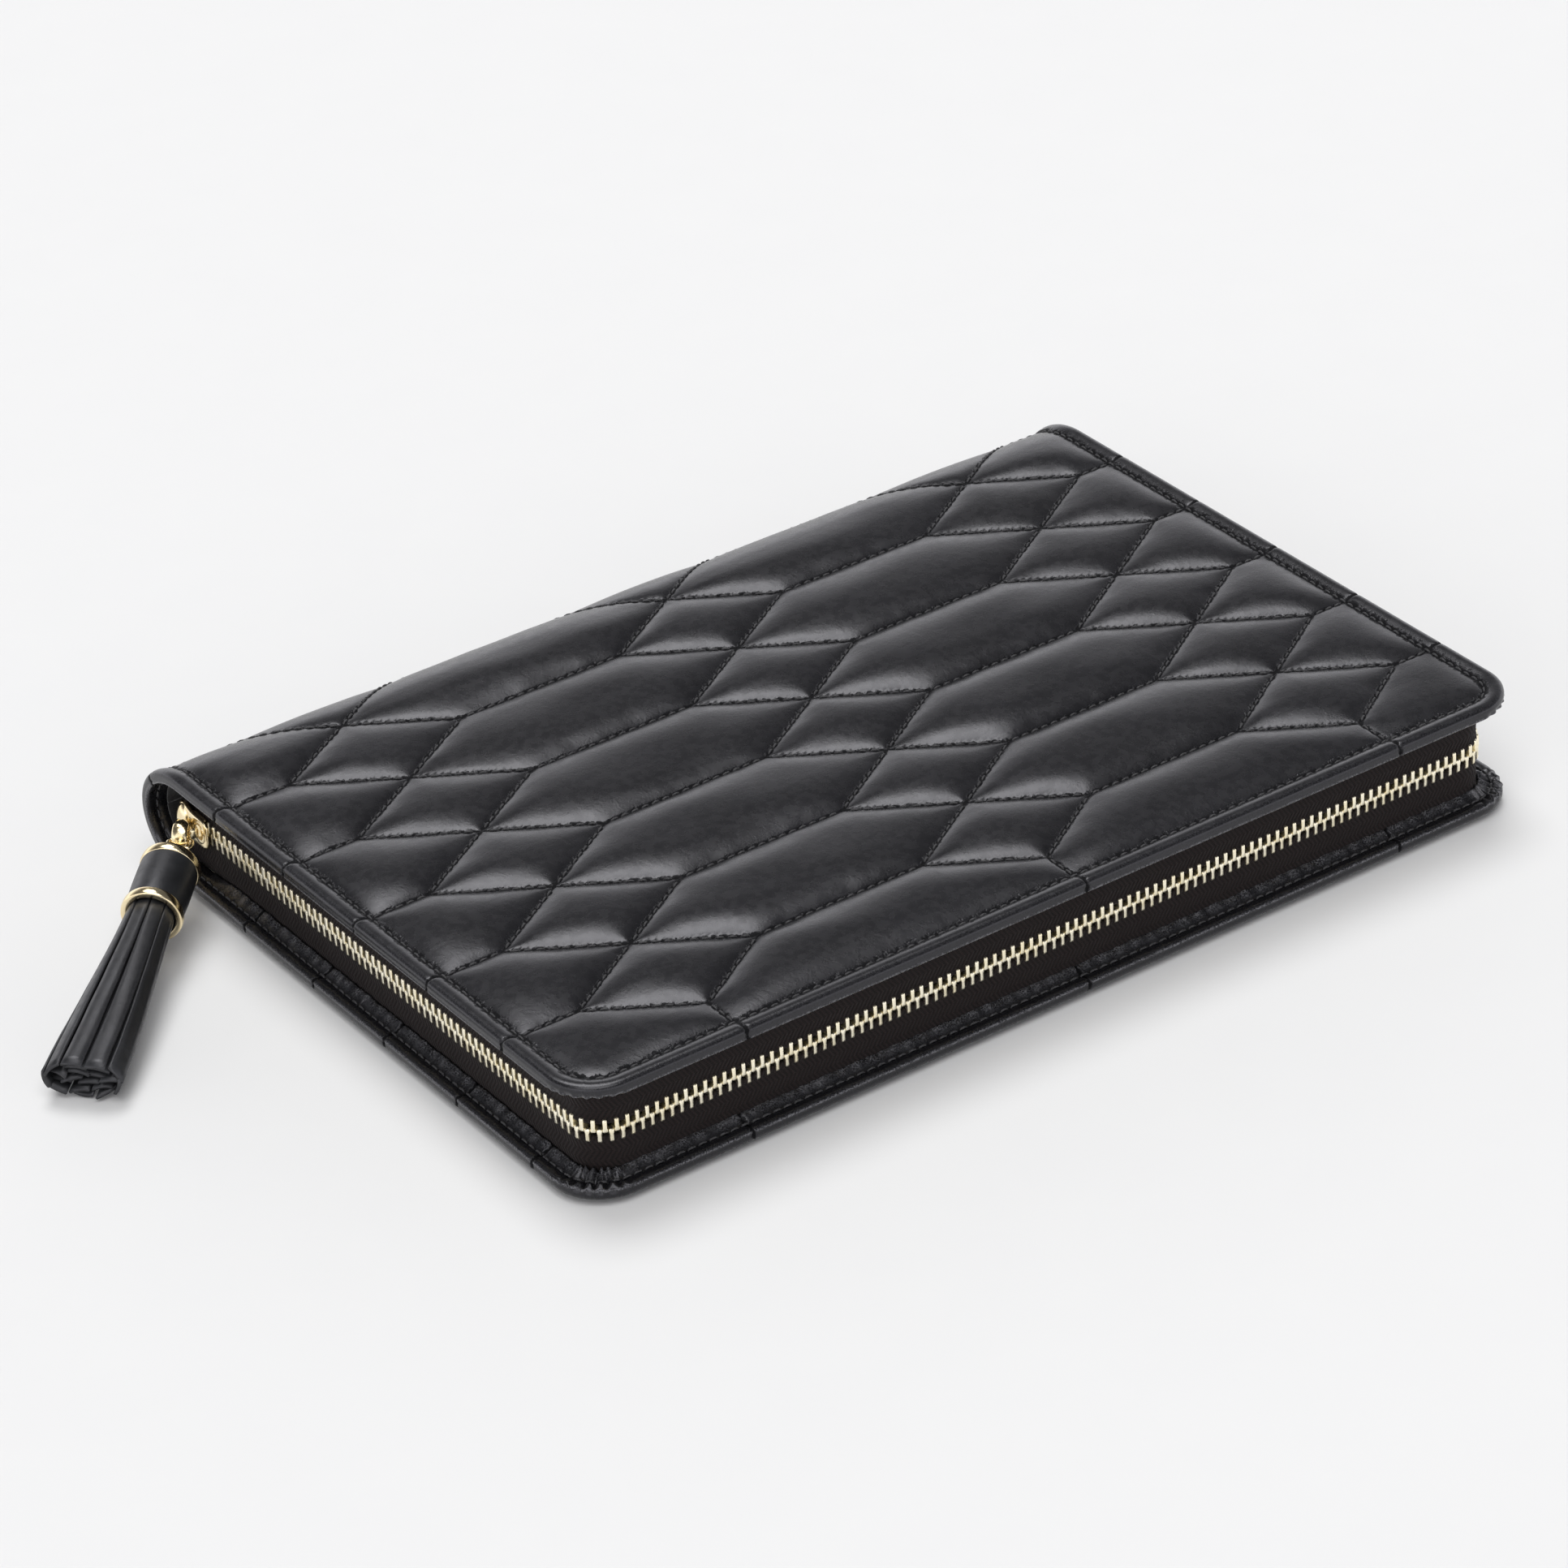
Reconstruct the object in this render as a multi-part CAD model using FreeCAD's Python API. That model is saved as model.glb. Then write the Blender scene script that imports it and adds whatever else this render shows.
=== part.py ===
import FreeCAD, Part
import math
import os

# Zip-round quilted leather jewellery case, closed and lying flat on its base.
# Millimetres. Origin in the middle of the underside, +X along the long side,
# +Y towards the rolled spine, +Z up. The lid half mirrors the base half.

V = FreeCAD.Vector

# Outside
CASE_LENGTH = 273.0
CASE_HEIGHT = 32.0
FRONT_Y = -94.75
CORNER_R = 13.2
SPINE_START_Y = 80.0
SPINE_BULGE = 19.7
MID_Z = CASE_HEIGHT / 2

# Layers of one half, counted from its outer face
LEATHER_T = 1.2
WADDING_T = 1.2
BOARD_T = 2.0
LINING_T = 0.8
WADDING_Z = LEATHER_T
BOARD_Z = WADDING_Z + WADDING_T
RIM_H = BOARD_Z + BOARD_T
FLOOR_Z = RIM_H + LINING_T
RIM_W = 5.2
RIM_REAR_Y = 84.0

# Where the leather bends: the two hinge lines of the spine
LIP_END_Y = 90.0
SPINE_LOW_Z = 10.0
SPINE_HIGH_Z = CASE_HEIGHT - SPINE_LOW_Z

# Zip round the left, front and right sides
TAPE_HALF_X = 130.1
TAPE_FRONT_Y = -88.9
TAPE_R = 8.4
TAPE_T = 0.9
TAPE_REAR_Y = 88.0
TAPE_TOP_Z = 14.4
TOOTH_PITCH = 2.6
TOOTH_LENGTH = 1.0
TOOTH_DEPTH = 2.4
TOOTH_TOP_Z = 16.9
TEETH_REAR_Y = 82.2
STOP_Y = 82.6
STOP_LENGTH = 1.2
STOP_DEPTH = 1.9
STOP_H = 1.3
GUSSET_GAP = 0.1
GUSSET_T = 2.0
GUSSET_TOP_Z = 11.0
GUSSET_REAR_Y = 84.0

# Zip slider
SLIDER_TAIL_Y = 75.2
SLIDER_MOUTH_Y = 87.8
SLIDER_WAIST_Y = 82.4
SLIDER_TAIL_HALF = 3.9
SLIDER_MOUTH_HALF = 5.0
PLATE_T = 1.2
CHANNEL_W = 3.2
FLANGE_SLOT = 1.6
FLANGE_T = 0.6
DIAMOND_Y = 84.3
DIAMOND_HALF = 1.2
PIVOT_Y = 82.5
PIVOT_GAP = 1.05
BAIL_FOOT = 4.0
BAIL_T = 1.2
BAIL_WIDTH = 1.6
BAIL_WINDOW_H = 2.15

# Pull ring and tassel
RING_R = 3.4
RING_WIRE_R = 0.65
TASSEL_YAW = 225.0
EYE_R = 1.75
EYE_WIRE_R = 0.6
NECK_R = 1.1
BELL_START = 7.0
BELL_END = 11.8
BELL_R = 5.6
BAND_H = 1.8
TOP_BAND_R = 7.2
CAP_R = 7.0
CAP_BORE_R = 5.9
CAP_LENGTH = 15.4
LOW_BAND_R = 7.6
LOW_BAND_BORE_R = 6.2
ROOT_R = 5.7
CORE_R = 4.0
CORE_LENGTH = 20.0
TASSEL_LENGTH = 91.0
TIP_HALF_WIDTH = 9.2
TIP_HALF_THICK = 5.6
FLOOR_CLEARANCE = 0.1

# Inside the base
TRAY_HALF_X = 125.6
TRAY_FRONT_Y = 29.0
TRAY_REAR_Y = 80.0
TRAY_WALL = 1.6
TRAY_H = 10.0
DIVIDER_X = 42.0
ROLL_COUNT = 4
ROLL_PITCH = 14.5
ROLL_R = 6.6
ROLL_CENTRE_H = 3.0
ROLL_FIRST_Y = -26.0
ROLL_LEFT_X = -124.0
ROLL_RIGHT_X = 12.0
PAD_LEFT_X = 18.0
PAD_RIGHT_X = 124.0
PAD_FRONT_Y = -33.0
PAD_REAR_Y = 26.0
PAD_H = 4.0
POCKET_HALF_X = 122.0
POCKET_FRONT_Y = -84.0
POCKET_SLIT_FRONT_Y = -45.0
POCKET_SLIT_REAR_Y = -38.5
POCKET_REAR_Y = -34.5
POCKET_H = 2.2
COIL_HALF_X = 116.0
COIL_HALF_W = 1.25
COIL_H = 1.2
POCKET_SLIDER_X = -108.0
SADDLE_HALF_X = 4.0
SADDLE_HALF_Y = 2.6
SADDLE_WALL = 1.0
SADDLE_TOP_H = 0.9
SADDLE_GAP = 0.2
ARCH_HALF_X = 2.5
ARCH_H = 2.3
ARCH_T = 0.9
ARCH_HALF_Y = 0.7
PULL_BAR_R = 0.45
PULL_BAR_H = 0.95
PULL_HALF_Y = 2.9
PULL_ARM_W = 0.9
PULL_ARM_LENGTH = 4.0
PULL_LENGTH = 14.0
PULL_T = 0.9

# Inside the lid, depths counted down from the lid's lining
NECK_PAD_T = 1.4
NECK_PAD_REAR_Y = 18.0
HOOK_COUNT = 6
HOOK_PITCH = 38.0
HOOK_Y = -70.0
HOOK_PLATE = (6.0, 8.0, 0.6)
HOOK_WIRE_R = 0.7
HOOK_POST = 2.2
HOOK_BEND_R = 1.8
ELASTIC_HALF_X = 120.0
ELASTIC_FRONT_Y = 22.0
ELASTIC_REAR_Y = 80.0
ELASTIC_DEPTH = 6.6
ELASTIC_T = 0.8
BAND_DEPTH = 0.6
BAND_LENGTH = 6.0


def box(x0, x1, y0, y1, z0, z1):
    return Part.makeBox(x1 - x0, y1 - y0, z1 - z0, V(x0, y0, z0))


def lid_half(shape):
    """The same piece on the lid: mirrored in the parting plane."""
    return shape.mirror(V(0, 0, MID_Z), V(0, 0, 1))


def corner(cx, cy, radius, first_deg, z):
    """A quarter circle, 90 degrees anticlockwise from first_deg."""
    at = []
    for angle in (first_deg, first_deg + 45, first_deg + 90):
        turn = math.radians(angle)
        at.append(V(cx + radius * math.cos(turn), cy + radius * math.sin(turn), z))
    return Part.Arc(at[0], at[1], at[2]).toShape()


def slab(half_x, front_y, rear_y, radius, z0, z1):
    """A flat layer with two round corners at the front and square ones behind."""
    inner_x = half_x - radius
    inner_y = front_y + radius
    rear_left = V(-half_x, rear_y, z0)
    rear_right = V(half_x, rear_y, z0)
    edges = [
        Part.makeLine(rear_left, V(-half_x, inner_y, z0)),
        corner(-inner_x, inner_y, radius, 180, z0),
        Part.makeLine(V(-inner_x, front_y, z0), V(inner_x, front_y, z0)),
        corner(inner_x, inner_y, radius, 270, z0),
        Part.makeLine(V(half_x, inner_y, z0), rear_right),
        Part.makeLine(rear_right, rear_left),
    ]
    return Part.Face(Part.Wire(edges)).extrude(V(0, 0, z1 - z0))


def u_wall(half_x, front_y, rear_y, radius, thickness, z0, z1):
    """A wall that runs round the left, front and right sides."""
    outside = slab(half_x, front_y, rear_y, radius, z0, z1)
    inside = slab(half_x - thickness, front_y + thickness, rear_y + 1,
                  radius - thickness, z0, z1)
    return outside.cut(inside)


def envelope(inset, half_x):
    """Everything inside the case's outer profile, inset on every side."""
    low = inset
    high = CASE_HEIGHT - inset
    front = FRONT_Y - CORNER_R
    half_oval = Part.Ellipse(V(0, SPINE_START_Y + SPINE_BULGE - inset, MID_Z),
                             V(0, SPINE_START_Y, high),
                             V(0, SPINE_START_Y, MID_Z))
    edges = [
        Part.makeLine(V(0, front, low), V(0, SPINE_START_Y, low)),
        Part.ArcOfEllipse(half_oval, -math.pi / 2, math.pi / 2).toShape(),
        Part.makeLine(V(0, SPINE_START_Y, high), V(0, front, high)),
        Part.makeLine(V(0, front, high), V(0, front, low)),
    ]
    face = Part.Face(Part.Wire(Part.__sortEdges__(edges)))
    face.translate(V(-half_x, 0, 0))
    return face.extrude(V(2 * half_x, 0, 0))


def spine_layer(outer, inner, half_x, y0, y1, z0, z1):
    """One curved layer of the spine, between two insets, cut to a window."""
    skin = envelope(outer, half_x).cut(envelope(inner, half_x + 1))
    return skin.common(box(-half_x - 1, half_x + 1, y0, y1, z0, z1))


def cover():
    """Outer leather of one half, with its turned rim and its curved rear lip."""
    half_x = CASE_LENGTH / 2
    plate = slab(half_x, FRONT_Y, SPINE_START_Y, CORNER_R, 0, LEATHER_T)
    lip = spine_layer(0, LEATHER_T, half_x, SPINE_START_Y, LIP_END_Y, -1, MID_Z)
    rim = u_wall(half_x, FRONT_Y, RIM_REAR_Y, CORNER_R, RIM_W, LEATHER_T, RIM_H)
    return plate.fuse([lip, rim]).removeSplitter()


def inner_slab(z0, z1, rear_y):
    """A layer that fills the space inside the rim."""
    return slab(CASE_LENGTH / 2 - RIM_W, FRONT_Y + RIM_W, rear_y, CORNER_R - RIM_W, z0, z1)


def zip_tape():
    return u_wall(TAPE_HALF_X, TAPE_FRONT_Y, TAPE_REAR_Y, TAPE_R, TAPE_T, RIM_H, TAPE_TOP_Z)


def lining():
    inset = TAPE_T + GUSSET_GAP
    return slab(TAPE_HALF_X - inset, TAPE_FRONT_Y + inset, GUSSET_REAR_Y, TAPE_R - inset,
                RIM_H, FLOOR_Z)


def gusset():
    inset = TAPE_T + GUSSET_GAP
    return u_wall(TAPE_HALF_X - inset, TAPE_FRONT_Y + inset, GUSSET_REAR_Y, TAPE_R - inset,
                  GUSSET_T, FLOOR_Z, GUSSET_TOP_Z)


def zip_place(distance):
    """Point and heading on the middle of the zip, from its left rear end."""
    half_x = TAPE_HALF_X - TAPE_T / 2
    front = TAPE_FRONT_Y + TAPE_T / 2
    radius = TAPE_R - TAPE_T / 2
    side = TEETH_REAR_Y - (front + radius)
    arc = radius * math.pi / 2
    across = 2 * (half_x - radius)
    if distance < side:
        return -half_x, TEETH_REAR_Y - distance, 270.0
    distance -= side
    if distance < arc:
        turn = distance / radius
        return (radius - half_x - radius * math.cos(turn),
                front + radius - radius * math.sin(turn), 270 + math.degrees(turn))
    distance -= arc
    if distance < across:
        return radius - half_x + distance, front, 0.0
    distance -= across
    if distance < arc:
        turn = distance / radius
        return (half_x - radius + radius * math.sin(turn),
                front + radius - radius * math.cos(turn), math.degrees(turn))
    return half_x, front + radius + distance - arc, 90.0


def zip_length():
    half_x = TAPE_HALF_X - TAPE_T / 2
    front = TAPE_FRONT_Y + TAPE_T / 2
    radius = TAPE_R - TAPE_T / 2
    straight = 2 * (TEETH_REAR_Y - front - radius) + 2 * (half_x - radius)
    return straight + math.pi * radius


def teeth(first):
    """A row of separate teeth, set every pitch from the given distance."""
    row = []
    distance = first
    while distance < zip_length() - TOOTH_LENGTH / 2:
        x, y, heading = zip_place(distance)
        tooth = box(-TOOTH_LENGTH / 2, TOOTH_LENGTH / 2, -TOOTH_DEPTH / 2, TOOTH_DEPTH / 2,
                    TAPE_TOP_Z, TOOTH_TOP_Z)
        tooth.rotate(V(0, 0, 0), V(0, 0, 1), heading)
        tooth.translate(V(x, y, 0))
        row.append(tooth)
        distance += TOOTH_PITCH
    return Part.makeCompound(row)


def stops():
    """Metal stops that close both ends of a row of teeth."""
    middle = TAPE_HALF_X - TAPE_T / 2
    pair = []
    for side in (-1, 1):
        centre = side * middle
        pair.append(box(centre - STOP_DEPTH / 2, centre + STOP_DEPTH / 2, STOP_Y,
                        STOP_Y + STOP_LENGTH, TAPE_TOP_Z, TAPE_TOP_Z + STOP_H))
    return Part.makeCompound(pair)


def slider_plate(x0, x1):
    """Heart-shaped plate: narrow at the tail, wide at the mouth."""
    outline = [
        (SLIDER_TAIL_Y, -SLIDER_TAIL_HALF),
        (SLIDER_WAIST_Y, -SLIDER_TAIL_HALF),
        (SLIDER_MOUTH_Y - PLATE_T, -SLIDER_MOUTH_HALF),
        (SLIDER_MOUTH_Y, -SLIDER_TAIL_HALF),
        (SLIDER_MOUTH_Y, SLIDER_TAIL_HALF),
        (SLIDER_MOUTH_Y - PLATE_T, SLIDER_MOUTH_HALF),
        (SLIDER_WAIST_Y, SLIDER_TAIL_HALF),
        (SLIDER_TAIL_Y, SLIDER_TAIL_HALF),
    ]
    corners = [V(x0, y, MID_Z + z) for y, z in outline]
    return Part.Face(Part.makePolygon(corners + corners[:1])).extrude(V(x1 - x0, 0, 0))


SLIDER_MID_X = -(TAPE_HALF_X - TAPE_T / 2)
SLIDER_OUT_X = SLIDER_MID_X - CHANNEL_W / 2 - PLATE_T
PIVOT_X = SLIDER_OUT_X - PIVOT_GAP


def slider_body():
    """Two plates, the wedge between them, and flanges that hold the chain in."""
    out_x = SLIDER_MID_X - CHANNEL_W / 2
    in_x = SLIDER_MID_X + CHANNEL_W / 2
    parts = [
        slider_plate(in_x, in_x + PLATE_T),
        box(out_x, in_x, DIAMOND_Y, SLIDER_MOUTH_Y, MID_Z - DIAMOND_HALF,
            MID_Z + DIAMOND_HALF),
    ]
    lip = (CHANNEL_W - FLANGE_SLOT) / 2
    for z0 in (MID_Z - SLIDER_TAIL_HALF, MID_Z + SLIDER_TAIL_HALF - FLANGE_T):
        for x0 in (out_x, in_x - lip):
            parts.append(box(x0, x0 + lip, SLIDER_TAIL_Y, SLIDER_WAIST_Y, z0, z0 + FLANGE_T))
    return slider_plate(SLIDER_OUT_X, out_x).fuse(parts).removeSplitter()


def slider_bail():
    """Arched bridge on the slider that the pull ring goes under."""
    foot = SLIDER_OUT_X
    low = MID_Z - BAIL_WIDTH / 2
    rise = BAIL_WINDOW_H + BAIL_T
    inner_foot = BAIL_FOOT - BAIL_T

    def point(x, y):
        return V(x, PIVOT_Y + y, low)

    edges = [
        Part.Arc(point(foot, -BAIL_FOOT), point(foot - rise, 0), point(foot, BAIL_FOOT)).toShape(),
        Part.makeLine(point(foot, BAIL_FOOT), point(foot, inner_foot)),
        Part.Arc(point(foot, inner_foot), point(foot - BAIL_WINDOW_H, 0),
                 point(foot, -inner_foot)).toShape(),
        Part.makeLine(point(foot, -inner_foot), point(foot, -BAIL_FOOT)),
    ]
    return Part.Face(Part.Wire(edges)).extrude(V(0, 0, BAIL_WIDTH))


def heading():
    yaw = math.radians(TASSEL_YAW)
    return V(math.cos(yaw), math.sin(yaw), 0)


def ring_centre():
    return V(PIVOT_X, PIVOT_Y, MID_Z) + heading() * RING_R


def pull_ring():
    across = heading().cross(V(0, 0, 1))
    return Part.makeTorus(RING_R, RING_WIRE_R, ring_centre(), across)


def droop():
    """Angle below level at which the tassel's tip just meets the table."""
    reach = math.hypot(TASSEL_LENGTH, TIP_HALF_THICK)
    fall = (MID_Z - FLOOR_CLEARANCE) / reach
    return math.asin(fall) - math.atan2(TIP_HALF_THICK, TASSEL_LENGTH)


def on_tassel(shape):
    """Moves a piece drawn along +Z from the origin to the tassel's line."""
    along = heading() * math.cos(droop()) - V(0, 0, math.sin(droop()))
    across = heading().cross(V(0, 0, 1))
    turn = FreeCAD.Rotation(across, along.cross(across), along, "ZXY")
    shape.transformShape(FreeCAD.Placement(ring_centre(), turn).toMatrix())
    return shape


def disc(radius, z0, z1):
    return Part.makeCylinder(radius, z1 - z0, V(0, 0, z0))


def tube(radius, bore, z0, z1):
    return disc(radius, z0, z1).cut(disc(bore, z0, z1))


CAP_TOP = BELL_END + BAND_H
CAP_END = CAP_TOP + CAP_LENGTH
LOW_BAND_END = CAP_END + BAND_H


def tassel_bell():
    eye = Part.makeTorus(EYE_R, EYE_WIRE_R, V(0, 0, RING_R), V(0, 1, 0))
    neck = disc(NECK_R, RING_R + EYE_R, BELL_START)
    bell = Part.makeCone(NECK_R, BELL_R, BELL_END - BELL_START, V(0, 0, BELL_START))
    return on_tassel(eye.fuse([neck, bell]))


def tassel_cap():
    crown = disc(CAP_BORE_R, BELL_END, CAP_TOP)
    wall = tube(CAP_R, CAP_BORE_R - LEATHER_T / 4, CAP_TOP - LEATHER_T / 4, CAP_END)
    band_space = tube(CAP_R + 1, CAP_BORE_R, BELL_END, CAP_TOP)
    return on_tassel(crown.fuse(wall).cut(band_space))


def oval(half_x, half_y, z):
    """Closed oval wire; half_x is never under half_y."""
    curve = Part.Ellipse(V(half_x, 0, z), V(0, half_y, z), V(0, 0, z))
    return Part.Wire(curve.toShape())


def tassel_strands():
    """The bundle of strands as one solid: its root inside the cap and its skirt."""
    root = disc(ROOT_R - LEATHER_T / 4, CAP_TOP, LOW_BAND_END)
    skirt = Part.makeLoft([oval(ROOT_R, ROOT_R - FLOOR_CLEARANCE, LOW_BAND_END),
                           oval(TIP_HALF_WIDTH, TIP_HALF_THICK, TASSEL_LENGTH)], True, True)
    return on_tassel(root.fuse(skirt).cut(disc(CORE_R, CAP_TOP, CAP_TOP + CORE_LENGTH)))


def tray_frame():
    top = FLOOR_Z + TRAY_H
    outside = box(-TRAY_HALF_X, TRAY_HALF_X, TRAY_FRONT_Y, TRAY_REAR_Y, FLOOR_Z, top)
    return outside.cut(box(TRAY_WALL - TRAY_HALF_X, TRAY_HALF_X - TRAY_WALL,
                           TRAY_FRONT_Y + TRAY_WALL, TRAY_REAR_Y - TRAY_WALL, FLOOR_Z, top))


def tray_divider(x):
    return box(x - TRAY_WALL / 2, x + TRAY_WALL / 2, TRAY_FRONT_Y + TRAY_WALL,
               TRAY_REAR_Y - TRAY_WALL, FLOOR_Z, FLOOR_Z + TRAY_H)


def ring_roll(y):
    """A padded bar with a round top, for rings to be pushed beside."""
    centre = FLOOR_Z + ROLL_CENTRE_H
    length = ROLL_RIGHT_X - ROLL_LEFT_X
    bar = box(ROLL_LEFT_X, ROLL_RIGHT_X, y - ROLL_R, y + ROLL_R, FLOOR_Z, centre)
    top = Part.makeCylinder(ROLL_R, length, V(ROLL_LEFT_X, y, centre), V(1, 0, 0))
    upper = box(ROLL_LEFT_X, ROLL_RIGHT_X, y - ROLL_R, y + ROLL_R, centre, centre + ROLL_R)
    return bar.fuse(top.common(upper)).removeSplitter()


COIL_Y = (POCKET_SLIT_FRONT_Y + POCKET_SLIT_REAR_Y) / 2
COIL_Z = FLOOR_Z + LINING_T
PLATE_Z = COIL_Z + COIL_H + SADDLE_GAP
PULL_Z = PLATE_Z + SADDLE_TOP_H + PULL_BAR_H


def pocket_slider_body():
    """Small saddle over the pocket's coil, with an arch for its pull."""
    x0 = POCKET_SLIDER_X - SADDLE_HALF_X
    x1 = POCKET_SLIDER_X + SADDLE_HALF_X
    top_z = PLATE_Z + SADDLE_TOP_H
    top = box(x0, x1, COIL_Y - SADDLE_HALF_Y, COIL_Y + SADDLE_HALF_Y, PLATE_Z, top_z)
    front = box(x0, x1, COIL_Y - SADDLE_HALF_Y, COIL_Y - SADDLE_HALF_Y + SADDLE_WALL,
                COIL_Z + SADDLE_GAP, PLATE_Z)
    rear = box(x0, x1, COIL_Y + SADDLE_HALF_Y - SADDLE_WALL, COIL_Y + SADDLE_HALF_Y,
               COIL_Z + SADDLE_GAP, PLATE_Z)
    arch = box(POCKET_SLIDER_X - ARCH_HALF_X, POCKET_SLIDER_X + ARCH_HALF_X,
               COIL_Y - ARCH_HALF_Y, COIL_Y + ARCH_HALF_Y, top_z, top_z + ARCH_H)
    window = box(POCKET_SLIDER_X - ARCH_HALF_X + ARCH_T, POCKET_SLIDER_X + ARCH_HALF_X - ARCH_T,
                 COIL_Y - ARCH_HALF_Y, COIL_Y + ARCH_HALF_Y, top_z, top_z + ARCH_H - ARCH_T / 2)
    return top.fuse([front, rear, arch.cut(window)]).removeSplitter()


def pocket_pull():
    """Flat pull on a cross bar that turns under the arch."""
    low = PULL_Z - PULL_T / 2
    high = PULL_Z + PULL_T / 2
    bar = Part.makeCylinder(PULL_BAR_R, 2 * PULL_HALF_Y,
                            V(POCKET_SLIDER_X, COIL_Y - PULL_HALF_Y, PULL_Z), V(0, 1, 0))
    tab = box(POCKET_SLIDER_X - PULL_LENGTH, POCKET_SLIDER_X - PULL_ARM_LENGTH,
              COIL_Y - PULL_HALF_Y, COIL_Y + PULL_HALF_Y, low, high)
    arms = []
    for y0 in (COIL_Y - PULL_HALF_Y, COIL_Y + PULL_HALF_Y - PULL_ARM_W):
        arms.append(box(POCKET_SLIDER_X - PULL_ARM_LENGTH, POCKET_SLIDER_X, y0,
                        y0 + PULL_ARM_W, low, high))
    return bar.fuse([tab] + arms).removeSplitter()


LINING_Z = CASE_HEIGHT - FLOOR_Z


def necklace_hooks():
    """A row of small J hooks hanging from the lid's pad, open to the front."""
    top = LINING_Z - NECK_PAD_T
    wide, long, thick = HOOK_PLATE
    hooks = []
    for n in range(HOOK_COUNT):
        x = (n - (HOOK_COUNT - 1) / 2) * HOOK_PITCH
        plate = box(x - wide / 2, x + wide / 2, HOOK_Y - long / 2, HOOK_Y + long / 2,
                    top - thick, top)
        post = Part.makeCylinder(HOOK_WIRE_R, HOOK_POST, V(x, HOOK_Y, top - thick - HOOK_POST))
        bend_z = top - thick - HOOK_POST
        bend = Part.makeTorus(HOOK_BEND_R, HOOK_WIRE_R, V(x, HOOK_Y - HOOK_BEND_R, bend_z),
                              V(1, 0, 0))
        bend = bend.common(box(x - 1, x + 1, HOOK_Y - 3 * HOOK_BEND_R, HOOK_Y + HOOK_BEND_R,
                               bend_z - 2 * HOOK_BEND_R, bend_z))
        hooks.append(plate.fuse([post, bend]))
    return Part.makeCompound(hooks)


def elastic_pocket():
    """Pocket with its mouth to the front, closed at both ends and behind."""
    low = LINING_Z - ELASTIC_DEPTH
    outside = box(-ELASTIC_HALF_X, ELASTIC_HALF_X, ELASTIC_FRONT_Y, ELASTIC_REAR_Y, low, LINING_Z)
    return outside.cut(box(ELASTIC_T - ELASTIC_HALF_X, ELASTIC_HALF_X - ELASTIC_T,
                           ELASTIC_FRONT_Y, ELASTIC_REAR_Y - ELASTIC_T,
                           low + ELASTIC_T, LINING_Z))


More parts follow.
